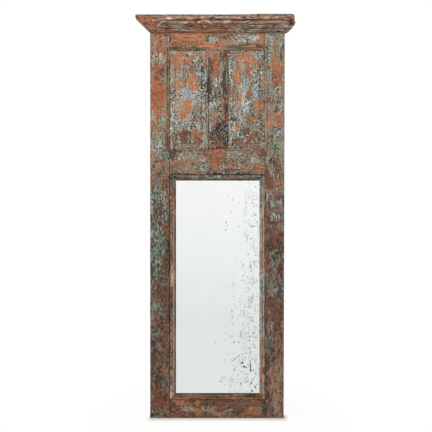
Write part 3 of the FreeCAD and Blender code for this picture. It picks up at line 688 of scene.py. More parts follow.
# Stiles: the long posts. A patch, here and below, is x, z, half width and half height in mm, lean
# in degrees, paint and cover
leftStilePatches = [
    (-275, 1822, 34, 22, 0, "brick", 0.7), (-243, 1815, 7, 40, 0, "mauve", 0.7),
    (-308, 1812, 8, 50, 0, "tan", 0.6), (-266, 1762, 24, 38, 0, "brick", 0.97),
    (-304, 1752, 10, 40, 0, "blush", 0.7), (-262, 1712, 14, 17, 0, "cream", 0.85),
    (-298, 1702, 15, 26, 0, "sage", 0.85), (-300, 1714, 12, 12, 0, "ice", 0.75),
    (-282, 1668, 16, 22, 0, "terracotta", 0.85), (-242, 1655, 7, 50, 0, "olive", 0.8),
    (-306, 1650, 9, 22, 0, "tan", 0.6), (-262, 1662, 12, 22, 0, "umber", 0.5),
    (-256, 1612, 13, 24, 0, "sage", 0.85), (-302, 1620, 12, 24, 0, "blush", 0.6),
    (-290, 1545, 34, 66, 0, "brick", 0.98), (-286, 1490, 32, 36, 0, "brick", 0.95),
    (-244, 1545, 9, 50, 0, "ochre", 0.7), (-258, 1478, 20, 20, 0, "terracotta", 0.85),
    (-302, 1425, 14, 34, 0, "peach", 0.6), (-262, 1428, 12, 26, 0, "sage", 0.85),
    (-302, 1385, 13, 30, 0, "ochre", 0.8), (-264, 1384, 11, 24, 0, "slate", 0.6),
    (-238, 1335, 11, 60, 0, "rust", 0.85), (-282, 1345, 14, 26, -20, "sage", 0.85),
    (-290, 1300, 22, 22, 0, "ice", 0.8), (-258, 1262, 18, 17, 30, "teal", 0.9),
    (-311, 1250, 8, 34, 0, "orange", 0.85), (-287, 1232, 8, 10, 0, "tar", 0.9),
    (-228, 1266, 8, 20, 0, "bark", 0.7), (-275, 1200, 15, 32, 0, "tan", 0.6),
    (-309, 1160, 9, 56, 0, "ochre", 0.85), (-280, 1150, 16, 24, 0, "mauve", 0.7),
    (-246, 1126, 14, 26, 0, "rust", 0.8), (-298, 1064, 16, 32, 0, "teal", 0.92),
    (-252, 1060, 13, 22, 0, "cream", 0.7), (-284, 1034, 18, 10, 0, "slate", 0.8),
    (-242, 1003, 12, 48, 0, "teal", 0.92), (-302, 985, 10, 34, 0, "sage", 0.6),
    (-276, 992, 9, 32, 0, "umber", 0.7), (-230, 945, 8, 26, 0, "tar", 0.8),
    (-290, 940, 20, 30, 0, "sage", 0.55), (-244, 895, 15, 40, 0, "rust", 0.9),
    (-272, 925, 9, 22, 0, "bark", 0.6), (-282, 880, 18, 44, -8, "ice", 0.95),
    (-238, 820, 13, 24, 0, "tar", 0.75), (-290, 822, 20, 13, 0, "mauve", 0.7),
    (-288, 785, 28, 50, 0, "teal", 0.97), (-307, 730, 8, 26, 0, "tar", 0.6),
    (-252, 752, 12, 42, 0, "umber", 0.8), (-238, 735, 6, 46, 0, "rust", 0.8),
    (-284, 690, 14, 26, 0, "slate", 0.9), (-286, 634, 16, 22, 0, "rust", 0.9),
    (-264, 580, 32, 46, 0, "umber", 0.9), (-286, 528, 18, 28, 0, "teal", 0.85),
    (-255, 540, 12, 26, 0, "rust", 0.8), (-236, 506, 8, 34, 0, "olive", 0.85),
    (-285, 452, 22, 22, 0, "rust", 0.7), (-300, 405, 12, 34, 0, "slate", 0.9),
    (-246, 420, 12, 70, 0, "rust", 0.8), (-276, 345, 14, 24, 0, "mauve", 0.5),
    (-302, 300, 9, 60, 0, "bark", 0.8), (-246, 240, 12, 60, 0, "ochre", 0.6),
    (-276, 190, 10, 50, 0, "bark", 0.75), (-298, 130, 14, 60, 0, "ochre", 0.6),
    (-262, 90, 40, 60, 0, "rust", 0.7), (-309, 30, 9, 24, 0, "tar", 0.9),
    (-250, 40, 16, 24, 0, "ochre", 0.6),
]
rightStilePatches = [
    (240, 1830, 14, 16, 0, "tan", 0.7), (290, 1832, 22, 14, 0, "slate", 0.85),
    (232, 1780, 9, 24, 0, "peach", 0.95), (262, 1768, 13, 60, 0, "ice", 0.85),
    (286, 1790, 10, 22, 0, "ochre", 0.95), (310, 1775, 8, 34, 0, "slate", 0.75),
    (308, 1800, 8, 12, 0, "ice", 0.8), (255, 1742, 12, 22, 0, "ice", 0.75),
    (244, 1722, 10, 24, 0, "slate", 0.7), (311, 1738, 8, 30, 0, "olive", 0.8),
    (285, 1722, 13, 18, 0, "blush", 0.85), (285, 1685, 22, 26, 0, "orange", 0.95),
    (307, 1660, 10, 20, 0, "brick", 0.8), (261, 1652, 9, 28, 0, "sage", 0.85),
    (237, 1680, 9, 24, 0, "mauve", 0.7), (236, 1625, 8, 26, 0, "tan", 0.6),
    (258, 1618, 10, 22, 0, "ice", 0.85), (290, 1620, 22, 46, 0, "terracotta", 0.85),
    (235, 1574, 10, 24, 0, "orange", 0.9), (258, 1556, 18, 12, 0, "slate", 0.75),
    (290, 1572, 20, 20, 0, "sage", 0.9), (311, 1555, 7, 60, 0, "blush", 0.75),
    (299, 1500, 16, 28, 0, "sage", 0.92), (250, 1512, 14, 20, 0, "rust", 0.75),
    (272, 1500, 12, 20, 0, "mauve", 0.6), (280, 1460, 18, 16, 0, "blush", 0.8),
    (245, 1455, 18, 14, 0, "tan", 0.7), (300, 1425, 16, 36, 0, "terracotta", 0.85),
    (244, 1412, 22, 22, 0, "orange", 0.97), (232, 1368, 10, 28, 0, "peach", 0.9),
    (264, 1388, 12, 14, 0, "slate", 0.75), (290, 1360, 18, 24, 0, "slate", 0.8),
    (294, 1354, 12, 14, 0, "sky", 0.75), (262, 1342, 8, 14, 0, "olive", 0.85),
    (240, 1325, 10, 28, 0, "tan", 0.7), (282, 1298, 32, 24, 0, "sage", 0.85),
    (278, 1296, 18, 12, 0, "teal", 0.8), (232, 1272, 10, 20, 0, "rust", 0.8),
    (250, 1244, 14, 13, 0, "ice", 0.85), (266, 1231, 8, 9, 0, "tar", 0.9),
    (291, 1235, 12, 32, 0, "sage", 0.7), (311, 1255, 7, 30, 0, "mauve", 0.8),
    (236, 1180, 14, 32, 0, "rust", 0.85), (264, 1163, 9, 26, 0, "sage", 0.95),
    (291, 1180, 18, 60, 0, "rust", 0.8), (250, 1122, 20, 28, 0, "rust", 0.8),
    (302, 1115, 15, 40, 0, "brick", 0.8), (243, 1064, 13, 10, 0, "ice", 0.85),
    (268, 1020, 32, 11, -18, "ice", 0.85), (262, 990, 22, 9, 0, "mauve", 0.85),
    (276, 965, 22, 11, -10, "ice", 0.8), (302, 1000, 13, 24, 0, "mauve", 0.7),
    (250, 930, 20, 34, 0, "rust", 0.85), (258, 918, 9, 16, 15, "sage", 0.85),
    (298, 905, 10, 30, 0, "tan", 0.6), (278, 850, 34, 40, 0, "rust", 0.8),
    (308, 795, 9, 70, 0, "bark", 0.85), (240, 750, 12, 34, 0, "rust", 0.75),
    (268, 786, 14, 18, 0, "teal", 0.85), (270, 745, 16, 32, 0, "slate", 0.9),
    (300, 710, 12, 30, 0, "bark", 0.7), (260, 680, 14, 14, 0, "mauve", 0.7),
    (268, 640, 30, 22, 0, "slate", 0.85), (290, 602, 30, 15, -22, "ice", 0.75),
    (260, 604, 20, 12, 0, "mauve", 0.6), (272, 555, 34, 26, 0, "umber", 0.85),
    (238, 530, 10, 60, 0, "rust", 0.7), (258, 442, 8, 24, 10, "peach", 0.7),
    (286, 480, 20, 60, 0, "umber", 0.85), (262, 345, 15, 42, 4, "teal", 0.97),
    (258, 330, 7, 18, 4, "tar", 0.6), (292, 350, 18, 60, 0, "ochre", 0.5),
    (262, 160, 14, 100, 0, "blush", 0.85), (290, 200, 18, 80, 0, "tan", 0.8),
    (268, 135, 12, 18, 0, "olive", 0.7), (276, 60, 30, 50, 0, "tan", 0.6),
]
stileLook = {
    "grid": (4.0, 7.0, 8.0), "grain": "z", "arris": 1.9, "knock": 3.0,
    "relief": 0.35, "hollow": 0.5, "dent": 1.3, "cornerDirtAndShade": 0.8,
    "changeAt": 1.125,         # height where the upper finish gives way to the lower one, m
    "changeOver": 90,          # patches this near to it, in mm, are in both
}
stiles = {
    "left": {
        "seed": 11, "patches": leftStilePatches, "pale": 0.65,
        "ground": ("umber", "terracotta", "tan", "sage", "blush"),
        "lowGround": ("bark", "olive", "umber", "slate", "ochre"),
    },
    "right": {
        "seed": 23, "patches": rightStilePatches, "pale": 0.95,
        "ground": ("umber", "sage", "tan", "sage", "putty"),
        "lowGround": ("bark", "umber", "mauve", "rust", "tan"),
    },
}
for side, own in stiles.items():
    # A renderer can hold only so many patches in one finish, so a stile has an upper and a lower one
    change, over = stileLook["changeAt"] * 1000, stileLook["changeOver"]
    upper = [patch for patch in own["patches"] if patch[1] > change - over]
    lower = [patch for patch in own["patches"] if patch[1] < change + over]
    wornPiece(side + "_stile", dict(
        stileLook, seed=own["seed"],
        material=oldPaint("old_paint_upper_" + side + "_stile", "z", own["ground"], upper,
                          lowGround=own["lowGround"], pale=own["pale"]),
        lowMaterial=oldPaint("old_paint_lower_" + side + "_stile", "z", own["ground"], lower,
                             lowGround=own["lowGround"], dark=0.78, speckStretch=0.5)))

# Rails
topRailPatches = [
    (-196, 1822, 30, 22, 0, "brick", 0.85), (-232, 1790, 9, 60, 0, "umber", 0.75),
    (-120, 1818, 66, 28, 0, "orange", 0.97), (-125, 1790, 66, 14, 0, "ochre", 0.8),
    (-58, 1802, 24, 24, 0, "orange", 0.85), (-20, 1826, 16, 11, 0, "sage", 0.9),
    (-5, 1815, 22, 12, 0, "ice", 0.95), (14, 1802, 9, 6, 0, "tar", 0.85),
    (-36, 1815, 7, 9, 0, "slate", 0.8), (-28, 1789, 24, 12, 0, "orange", 0.95),
    (12, 1784, 16, 14, 0, "brick", 0.85), (48, 1836, 24, 11, 0, "terracotta", 0.8),
    (50, 1808, 20, 16, 0, "blush", 0.95), (71, 1834, 9, 8, 0, "umber", 0.85),
    (100, 1818, 24, 18, 0, "putty", 0.8), (150, 1816, 32, 17, 0, "sage", 0.9),
    (178, 1816, 18, 12, 0, "cream", 0.8), (213, 1812, 9, 24, 0, "blush", 0.85),
    (190, 1787, 16, 8, 0, "terracotta", 0.85), (112, 1777, 46, 8, 0, "olive", 0.95),
    (206, 1776, 14, 12, 0, "bark", 0.85), (75, 1768, 18, 7, 0, "slate", 0.85),
    (-108, 1766, 30, 6, 0, "olive", 0.9), (-196, 1779, 34, 7, 0, "umber", 0.8),
]
middleRailPatches = [
    (-208, 1270, 14, 16, 0, "bark", 0.85), (-175, 1284, 22, 10, 0, "blush", 0.85),
    (-132, 1280, 15, 7, 0, "tar", 0.75), (-90, 1276, 20, 9, 0, "mauve", 0.8),
    (-55, 1284, 20, 8, 0, "olive", 0.8), (-130, 1254, 50, 15, 0, "sage", 0.85),
    (-198, 1214, 16, 28, 0, "ochre", 0.8), (-120, 1224, 18, 9, 0, "terracotta", 0.6),
    (-62, 1226, 28, 16, 0, "sage", 0.8), (-70, 1250, 22, 13, 0, "blush", 0.5),
    (-88, 1200, 28, 12, 0, "slate", 0.8), (-58, 1194, 16, 15, 0, "ice", 0.85),
    (-130, 1198, 30, 15, 0, "tan", 0.6), (4, 1268, 32, 26, 0, "terracotta", 0.95),
    (-15, 1280, 17, 12, 0, "brick", 0.9), (2, 1232, 26, 26, 0, "terracotta", 0.95),
    (-2, 1203, 14, 16, 0, "terracotta", 0.85), (28, 1196, 8, 14, 0, "ice", 0.75),
    (82, 1264, 26, 13, 0, "putty", 0.8), (108, 1246, 40, 12, 0, "sage", 0.85),
    (75, 1214, 24, 20, 0, "blush", 0.5), (110, 1208, 16, 16, 0, "sage", 0.7),
    (145, 1230, 22, 26, 0, "mauve", 0.6), (184, 1240, 18, 18, 0, "ice", 0.85),
    (206, 1195, 20, 15, 0, "terracotta", 0.85), (215, 1272, 13, 22, 0, "rust", 0.85),
    (104, 1285, 64, 7, 0, "blush", 0.85), (-198, 1168, 32, 7, 0, "bark", 0.8),
    (-5, 1164, 26, 7, 0, "tar", 0.95), (46, 1176, 14, 10, 0, "bark", 0.85),
    (102, 1172, 16, 12, 0, "tar", 0.7), (150, 1168, 44, 6, 0, "bark", 0.8),
]
bottomRailPatches = [
    (-166, 78, 42, 11, 8, "terracotta", 0.85), (-216, 66, 13, 16, 0, "bark", 0.8),
    (-90, 72, 14, 9, 0, "brick", 0.8), (-134, 38, 26, 15, 0, "sage", 0.85),
    (-95, 22, 22, 12, 0, "ochre", 0.8), (-40, 42, 28, 17, 0, "sage", 0.85),
    (15, 46, 16, 12, 0, "rust", 0.85), (0, 14, 42, 9, 0, "blush", 0.8),
    (70, 32, 32, 13, 0, "slate", 0.92), (95, 55, 16, 14, 0, "rust", 0.8),
    (100, 26, 20, 10, 0, "bark", 0.75), (120, 10, 18, 7, 0, "olive", 0.7),
    (140, 80, 14, 8, 0, "slate", 0.75), (176, 28, 38, 18, 0, "terracotta", 0.9),
    (180, 78, 30, 9, 0, "brick", 0.6), (220, 60, 7, 34, 0, "bark", 0.8),
    (206, 46, 12, 12, 0, "slate", 0.8),
]
topRailLook = {
    "grid": (8.0, 7.0, 4.5), "grain": "x", "seed": 31, "arris": 1.5, "knock": 2.0,
    "relief": 0.35, "hollow": 0.4, "dent": 1.3, "cornerDirtAndShade": 0.85,
    "material": oldPaint("old_paint_top_rail", "x", ("umber", "terracotta", "tan", "blush"),
                         topRailPatches, flaky=0.25),
}
middleRailLook = dict(topRailLook, seed=37, material=oldPaint(
    "old_paint_middle_rail", "x", ("umber", "tan", "olive", "sage"), middleRailPatches,
    flaky=0.3, pale=0.75, level=0.96))
bottomRailLook = dict(topRailLook, seed=41, arris=1.8, knock=2.5, material=oldPaint(
    "old_paint_bottom_rail", "x", ("bark", "rust", "umber", "ochre"), bottomRailPatches,
    flaky=0.2, pale=0.5, palePaints=("mauve", "tan", "slate", "putty"), speckStretch=0.45))
wornPiece("top_rail", topRailLook)
wornPiece("middle_rail", middleRailLook)
wornPiece("bottom_rail", bottomRailLook)

# Muntin and the two raised panels
muntinPatches = [
    (10, 1762, 24, 22, 0, "terracotta", 0.9), (-30, 1735, 12, 40, 0, "blush", 0.8),
    (18, 1734, 8, 18, 0, "olive", 0.9), (40, 1735, 10, 36, 0, "rust", 0.7),
    (-10, 1695, 13, 24, 0, "brick", 0.85), (-32, 1680, 9, 30, 0, "umber", 0.85),
    (0, 1652, 20, 28, 0, "terracotta", 0.95), (22, 1688, 8, 22, 0, "sage", 0.85),
    (38, 1650, 7, 34, 0, "bark", 0.85), (-43, 1598, 8, 42, 0, "tar", 0.9),
    (8, 1606, 17, 26, 0, "sage", 0.9), (-20, 1590, 9, 28, 0, "umber", 0.8),
    (36, 1590, 9, 44, 0, "bark", 0.85), (-18, 1548, 24, 18, 0, "olive", 0.7),
    (-6, 1500, 36, 30, 0, "sage", 0.9), (-2, 1506, 20, 16, 0, "ice", 0.85),
    (-40, 1512, 10, 20, 0, "slate", 0.8), (24, 1500, 8, 26, 0, "terracotta", 0.85),
    (36, 1505, 7, 60, 0, "bark", 0.8), (-10, 1438, 14, 30, 0, "blush", 0.75),
    (12, 1430, 10, 40, 0, "sage", 0.7), (34, 1410, 13, 44, 0, "terracotta", 0.9),
    (-42, 1384, 9, 34, 0, "sky", 0.85), (18, 1350, 32, 54, 0, "tar", 0.95),
    (-22, 1325, 18, 26, 0, "tar", 0.7), (-18, 1345, 10, 34, 0, "olive", 0.75),
    (-44, 1330, 7, 20, 0, "blush", 0.7), (0, 1297, 34, 10, 0, "rust", 0.8),
]
leftPanelPatches = [
    (-212, 1752, 16, 18, 0, "ice", 0.9), (-165, 1760, 24, 12, 0, "mauve", 0.7),
    (-115, 1757, 20, 12, 0, "sage", 0.85), (-64, 1762, 14, 10, 0, "cream", 0.85),
    (-190, 1708, 28, 34, 0, "orange", 0.98), (-126, 1727, 13, 18, 0, "orange", 0.97),
    (-158, 1724, 16, 20, 0, "orange", 0.85), (-72, 1722, 24, 30, 0, "blush", 0.9),
    (-164, 1690, 10, 24, 0, "peach", 0.85), (-101, 1698, 13, 30, 0, "sage", 0.9),
    (-58, 1690, 8, 30, 0, "terracotta", 0.8), (-158, 1642, 10, 46, 0, "sage", 0.85),
    (-190, 1642, 13, 18, 0, "putty", 0.8), (-133, 1660, 9, 34, 0, "terracotta", 0.7),
    (-88, 1650, 20, 20, 0, "ice", 0.95), (-110, 1638, 13, 12, 0, "mauve", 0.7),
    (-69, 1596, 14, 72, 0, "sky", 0.98), (-181, 1600, 12, 24, 0, "orange", 0.92),
    (-124, 1594, 25, 30, 0, "orange", 0.98), (-148, 1545, 19, 28, 0, "sky", 0.97),
    (-186, 1546, 22, 18, 0, "putty", 0.85), (-104, 1540, 18, 30, 0, "ice", 0.95),
    (-72, 1520, 12, 30, 0, "putty", 0.7), (-184, 1494, 28, 24, 0, "peach", 0.92),
    (-134, 1490, 16, 32, 0, "orange", 0.93), (-220, 1480, 9, 56, 0, "sage", 0.9),
    (-222, 1640, 7, 60, 0, "putty", 0.8), (-156, 1445, 21, 18, 0, "orange", 0.95),
    (-110, 1450, 14, 14, 0, "ice", 0.85), (-88, 1432, 18, 10, 0, "mauve", 0.8),
    (-58, 1452, 9, 16, 0, "chalk", 0.7), (-186, 1412, 12, 28, 0, "sage", 0.85),
    (-128, 1396, 36, 15, 14, "sky", 0.85), (-52, 1424, 8, 14, 0, "terracotta", 0.85),
    (-106, 1366, 25, 20, 0, "terracotta", 0.97), (-70, 1372, 11, 20, 0, "peach", 0.8),
    (-190, 1362, 20, 28, 0, "mauve", 0.7), (-204, 1330, 16, 38, 0, "olive", 0.9),
    (-222, 1385, 7, 40, 0, "sage", 0.8), (-56, 1350, 8, 36, 0, "ice", 0.7),
    (-150, 1352, 30, 20, 0, "umber", 0.7), (-85, 1335, 24, 20, 0, "rust", 0.8),
    (-126, 1319, 6, 8, 0, "tar", 1.0), (-160, 1322, 26, 18, 0, "umber", 0.75),
    (-100, 1318, 20, 9, 0, "mauve", 0.7), (-110, 1298, 60, 6, 0, "tan", 0.7),
]
rightPanelPatches = [
    (62, 1736, 14, 26, 0, "tan", 0.85), (124, 1726, 28, 22, 0, "orange", 0.97),
    (152, 1738, 18, 22, 0, "orange", 0.9), (192, 1746, 26, 18, 20, "ice", 0.95),
    (214, 1732, 8, 18, 0, "slate", 0.8), (229, 1726, 6, 28, 0, "tar", 0.9),
    (182, 1700, 24, 22, 0, "orange", 0.9), (142, 1690, 15, 20, 0, "ochre", 0.85),
    (75, 1696, 16, 18, 0, "ice", 0.9), (66, 1662, 12, 24, 0, "teal", 0.85),
    (100, 1640, 15, 34, 0, "orange", 0.95), (122, 1676, 7, 22, 0, "peach", 0.9),
    (156, 1658, 13, 28, 0, "terracotta", 0.85), (202, 1650, 20, 30, 0, "putty", 0.85),
    (183, 1620, 13, 24, 0, "putty", 0.8), (230, 1668, 7, 28, 0, "blush", 0.8),
    (65, 1610, 14, 16, 0, "ice", 0.9), (88, 1598, 10, 14, 0, "sage", 0.7),
    (135, 1602, 14, 22, 0, "sky", 0.95), (130, 1562, 15, 28, 0, "ice", 0.92),
    (106, 1576, 14, 26, 0, "putty", 0.8), (160, 1556, 10, 32, 0, "terracotta", 0.9),
    (190, 1576, 18, 42, 0, "sky", 0.97), (194, 1590, 10, 20, 0, "teal", 0.8),
    (218, 1620, 10, 24, 0, "blush", 0.75), (56, 1568, 9, 30, 0, "ochre", 0.85),
    (72, 1520, 12, 14, 0, "slate", 0.85), (101, 1530, 15, 22, 0, "orange", 0.95),
    (135, 1502, 18, 26, 0, "ice", 0.9), (150, 1480, 20, 18, 0, "teal", 0.85),
    (90, 1490, 13, 16, 0, "peach", 0.8), (64, 1482, 13, 20, 0, "sage", 0.8),
    (203, 1494, 16, 28, 0, "orange", 0.93), (170, 1460, 13, 9, 0, "umber", 0.8),
    (70, 1452, 20, 13, 0, "ice", 0.85), (86, 1430, 26, 9, 0, "bark", 0.8),
    (120, 1442, 13, 14, 0, "sky", 0.8), (152, 1434, 16, 20, 0, "terracotta", 0.93),
    (178, 1434, 9, 20, 0, "sage", 0.9), (122, 1402, 17, 26, 0, "ice", 0.95),
    (72, 1408, 18, 9, 0, "mauve", 0.7), (102, 1386, 12, 18, 0, "orange", 0.9),
    (80, 1382, 12, 18, 0, "chalk", 0.75), (145, 1386, 9, 18, 0, "slate", 0.75),
    (210, 1384, 11, 36, 0, "sage", 0.85), (110, 1352, 24, 19, 0, "teal", 0.85),
    (152, 1352, 22, 28, 0, "rust", 0.85), (192, 1342, 16, 38, 0, "umber", 0.9),
    (60, 1330, 13, 20, 0, "sage", 0.75), (92, 1320, 22, 12, 0, "rust", 0.8),
    (140, 1306, 56, 8, 0, "mauve", 0.75), (230, 1540, 6, 80, 0, "blush", 0.6),
]
muntinLook = {
    "grid": (4.0, 6.0, 7.0), "grain": "z", "seed": 43, "arris": 1.5, "knock": 2.2,
    "relief": 0.4, "hollow": 0.4, "dent": 1.3,
    "material": oldPaint("old_paint_muntin", "z", ("umber", "rust", "tan", "sage"), muntinPatches,
                         flaky=0.55, dark=1.0, level=0.95),
}
leftPanelLook = {
    "grid": (3.5, 4.0, 7.0), "grain": "z", "seed": 47, "arris": 1.2, "knock": 1.6,
    "relief": 0.4, "hollow": 0.7, "dent": 1.3, "bareFrom": -1, "cornerDirtAndShade": 0.0,
    "material": oldPaint("old_paint_left_panel", "z", ("terracotta", "sage", "tan", "putty", "ice"),
                         leftPanelPatches, flaky=0.6, pale=1.0, dark=1.0),
}
rightPanelLook = dict(leftPanelLook, seed=53, material=oldPaint(
    "old_paint_right_panel", "z", ("terracotta", "sage", "mauve", "tan", "putty"),
    rightPanelPatches, flaky=0.65, pale=1.0, dark=1.0))
wornPiece("muntin", muntinLook)
wornPiece("left_panel", leftPanelLook)
wornPiece("right_panel", rightPanelLook)

# Cornice
cornicePatches = [
    (-350, 1900, 50, 18, 0, "brick", 0.95), (-345, 1880, 50, 12, 0, "rust", 0.85),
    (-315, 1866, 30, 12, 0, "brick", 0.8), (-286, 1897, 11, 20, 0, "cream", 0.75),
    (-262, 1908, 13, 12, 0, "mauve", 0.7), (-228, 1900, 10, 20, 0, "cream", 0.85),
    (-205, 1910, 14, 9, 0, "blush", 0.8), (-172, 1898, 20, 9, 0, "umber", 0.8),
    (-130, 1900, 18, 18, 0, "tan", 0.8), (-84, 1914, 24, 6, 0, "ice", 0.8),
    (-40, 1910, 20, 8, 0, "mauve", 0.8), (0, 1917, 40, 5, 0, "blush", 0.7),
    (60, 1915, 30, 6, 0, "tan", 0.7), (97, 1910, 18, 9, 0, "orange", 0.95),
    (135, 1914, 18, 7, 0, "sage", 0.85), (178, 1914, 16, 7, 0, "mauve", 0.85),
    (232, 1912, 40, 7, 0, "peach", 0.85), (300, 1917, 50, 5, 0, "slate", 0.9),
    (262, 1903, 20, 8, 0, "bark", 0.85), (335, 1902, 40, 14, 0, "tar", 0.9),
    # The pale cream, chalk and blush patches along z 1884 to 1892 are painted highlight on the torus's crest
    (-296, 1872, 12, 12, 0, "mauve", 0.8), (-240, 1888, 16, 12, 0, "olive", 0.75),
    (-185, 1887, 22, 7, 0, "blush", 0.8), (-120, 1884, 26, 8, 0, "terracotta", 0.85),
    (-28, 1886, 32, 7, 0, "cream", 0.9), (66, 1892, 32, 6, 0, "chalk", 0.8),
    (99, 1886, 8, 10, 0, "olive", 0.95), (150, 1888, 36, 7, 0, "blush", 0.8),
    (222, 1888, 20, 7, 0, "sage", 0.75), (268, 1874, 24, 6, 0, "olive", 0.8),
    (250, 1892, 50, 4, 0, "cream", 0.6), (-190, 1872, 20, 6, 0, "rust", 0.85),
    (-130, 1871, 30, 5, 0, "ochre", 0.85), (-20, 1872, 26, 5, 0, "umber", 0.8),
    (34, 1873, 30, 6, 0, "brick", 0.9), (152, 1862, 22, 9, 0, "bark", 0.85),
    (202, 1863, 20, 7, 0, "slate", 0.9), (265, 1866, 28, 7, 0, "slate", 0.85),
    # The light orange, putty and tan patches along z 1854 to 1858 are painted highlight on the bead
    (-300, 1856, 26, 9, 0, "orange", 0.85), (-170, 1858, 24, 6, 0, "putty", 0.9),
    (-120, 1856, 24, 9, 0, "orange", 0.95), (-72, 1855, 26, 11, 0, "orange", 0.97),
    (-18, 1855, 28, 9, 0, "orange", 0.9), (26, 1854, 22, 9, 0, "terracotta", 0.9),
    (82, 1857, 30, 7, 0, "tan", 0.85), (184, 1857, 18, 7, 0, "sage", 0.9),
    (240, 1854, 24, 7, 0, "mauve", 0.85), (322, 1868, 26, 12, 0, "mauve", 0.85),
    (352, 1886, 22, 12, 0, "tar", 0.95), (-240, 1855, 22, 8, 0, "umber", 0.7),
]
# The end block shows those at the left end, and the cap those along the top
blockPatches, capPatches = cornicePatches[:6], cornicePatches[8:17]
paleWoodAndHighlight = ("8A6E5C", "B59C88", "D6C8B8")   # bare wood bleached grey and pink, drawn pale so that the rubbed ridges also give a painted highlight
corniceLook = {
    "grain": "x", "arris": 1.4, "knock": 3.0, "relief": 0.3, "hollow": 0.4, "dent": 1.6,
}
corniceLooks = {
    "cornice_front": {
        "grid": (7.0, 3.0, 3.0), "seed": 59, "flushAt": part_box("cornice_front")[0].x,
        "material": oldPaint("old_paint_cornice_front", "x",
                             ("rust", "terracotta", "brick", "tan", "blush"), cornicePatches,
                             flaky=0.8, warm=0.8, pale=0.8, dark=0.95, sway=(1, 0.3, 0.2),
                             speckStretch=0.3, woodTones=paleWoodAndHighlight, level=1.07),
    },
    "cornice_left_block": {
        "grid": (4.0, 4.0, 3.0), "seed": 61, "flushAt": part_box("cornice_left_block")[1].x,
        "material": oldPaint("old_paint_cornice_block", "x", ("umber", "terracotta", "brick", "mauve"),
                             blockPatches, flaky=0.5, sway=(1, 0.3, 0.2), speckStretch=0.5,
                             woodTones=paleWoodAndHighlight),
    },
    "cornice_right_return": {
        "grid": (3.0, 5.0, 3.0), "seed": 67, "grain": "y",
        "material": oldPaint("old_paint_cornice_return", "y", ("umber", "mauve", "tan", "blush"), (),
                             flaky=0.5),
    },
    "cornice_cap": {
        "grid": (8.0, 6.0, 2.5), "seed": 71, "arris": 1.0, "hollow": 0.5, "dent": 1.2,
        "bareFrom": 30,
        "rubbedEnd": (0.016, 0.0066),   # this far along and down, m
        # Lifts in m at the left and the right, where the rise starts and over what length
        "risen": {"left": 0.0015, "right": 0.0045, "from": 0.05, "over": 0.16},
        "material": oldPaint("old_paint_cornice_cap", "x", ("umber", "blush", "tan", "slate"),
                             capPatches, flaky=0.5, sway=(1, 0.3, 0.3), speckStretch=0.35),
    },
}
for node, own in corniceLooks.items():
    wornPiece(node, dict(corniceLook, **own))

# Mitred strips round the glass, each from another old moulding
stripLook = {
    "grid": (2.4, 3.5, 8.0), "grain": "z", "arris": 1.2, "knock": 2.4, "relief": 0.3,
    "hollow": 0.6, "dent": 1.2, "bareFrom": 6, "mitred": True, "cornerDirtAndShade": 0.8,
    "wearReach": 0.004,
}
pinkWood = ("7A5C4C", "A68674", "CBB2A2")   # where hands have rubbed the inner edge
brownWood = ("4A3018", "7C5630", "966A3C")   # oiled wood of the strip at the foot
# The dark line along the edge next to the glass is painted shade: axis, place and how dark
strips = {
    "left": {
        "seed": 73, "glassEdgeShade": (0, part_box("moulding_left")[1].x - 0.0035, 0.9),
        "ground": ("bark", "umber", "mauve", "tan"), "woodTones": pinkWood, "pale": 0.5, "level": 1.22,
        "patches": [
            (-212, 1150, 16, 14, 0, "tar", 0.9), (-204, 1116, 7, 26, 0, "slate", 0.85),
            (-206, 1005, 8, 44, 0, "blush", 0.9), (-218, 1040, 6, 70, 0, "rust", 0.7),
            (-222, 900, 5, 50, 0, "umber", 0.7), (-206, 850, 6, 90, 0, "mauve", 0.8),
            (-212, 690, 8, 60, 0, "peach", 0.6), (-206, 560, 8, 50, 0, "slate", 0.7),
            (-208, 420, 8, 60, 0, "blush", 0.7), (-208, 240, 8, 40, 0, "mauve", 0.8),
            (-216, 112, 14, 16, 0, "peach", 0.9), (-207.5, 600, 3.0, 470, 0, "peach", 0.85),
        ],
    },
    "right": {
        "seed": 79, "glassEdgeShade": None,
        "ground": ("umber", "putty", "tan", "putty"), "woodTones": pinkWood, "pale": 0.5, "level": 1.07,
        "patches": [
            (214, 1152, 14, 12, 0, "bark", 0.8), (214, 1118, 8, 26, 0, "slate", 0.85),
            (212, 1050, 8, 34, 0, "slate", 0.8), (214, 955, 7, 50, 0, "putty", 0.8),
            (213, 850, 8, 60, 0, "peach", 0.8), (212, 760, 7, 40, 0, "blush", 0.7),
            (213, 640, 8, 60, 0, "ice", 0.85), (212, 460, 7, 40, 0, "sky", 0.7),
            (214, 330, 8, 70, 0, "tan", 0.8), (213, 210, 8, 60, 0, "blush", 0.7),
            (218, 120, 9, 18, 0, "tan", 0.9),
        ],
    },
    "top": {
        "seed": 85, "glassEdgeShade": None,
        "ground": ("bark", "umber", "slate", "mauve"), "woodTones": pinkWood, "pale": 0.5, "level": 0.98,
        "patches": [
            (-105, 1150, 26, 5, 0, "putty", 0.85), (-10, 1152, 24, 6, 0, "ice", 0.85),
            (-212, 1150, 16, 14, 0, "tar", 0.9), (70, 1150, 40, 6, 0, "mauve", 0.7),
            (212, 1148, 16, 14, 0, "tar", 0.8),
        ],
    },
    "bottom": {
        "seed": 91, "glassEdgeShade": (2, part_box("moulding_bottom")[1].z - 0.0045, 1.3),
        "ground": ("bark", "umber", "ochre", "rust"), "woodTones": brownWood, "pale": 0.2, "level": 0.86,
        "patches": [
            (-100, 104, 60, 8, 0, "ochre", 0.95), (90, 106, 60, 7, 0, "ochre", 0.95),
            (-10, 96, 34, 6, 0, "rust", 0.7), (160, 106, 30, 6, 0, "bark", 0.85),
            (210, 96, 20, 10, 0, "brick", 0.85), (-214, 104, 14, 12, 0, "peach", 0.85),
        ],
    },
}
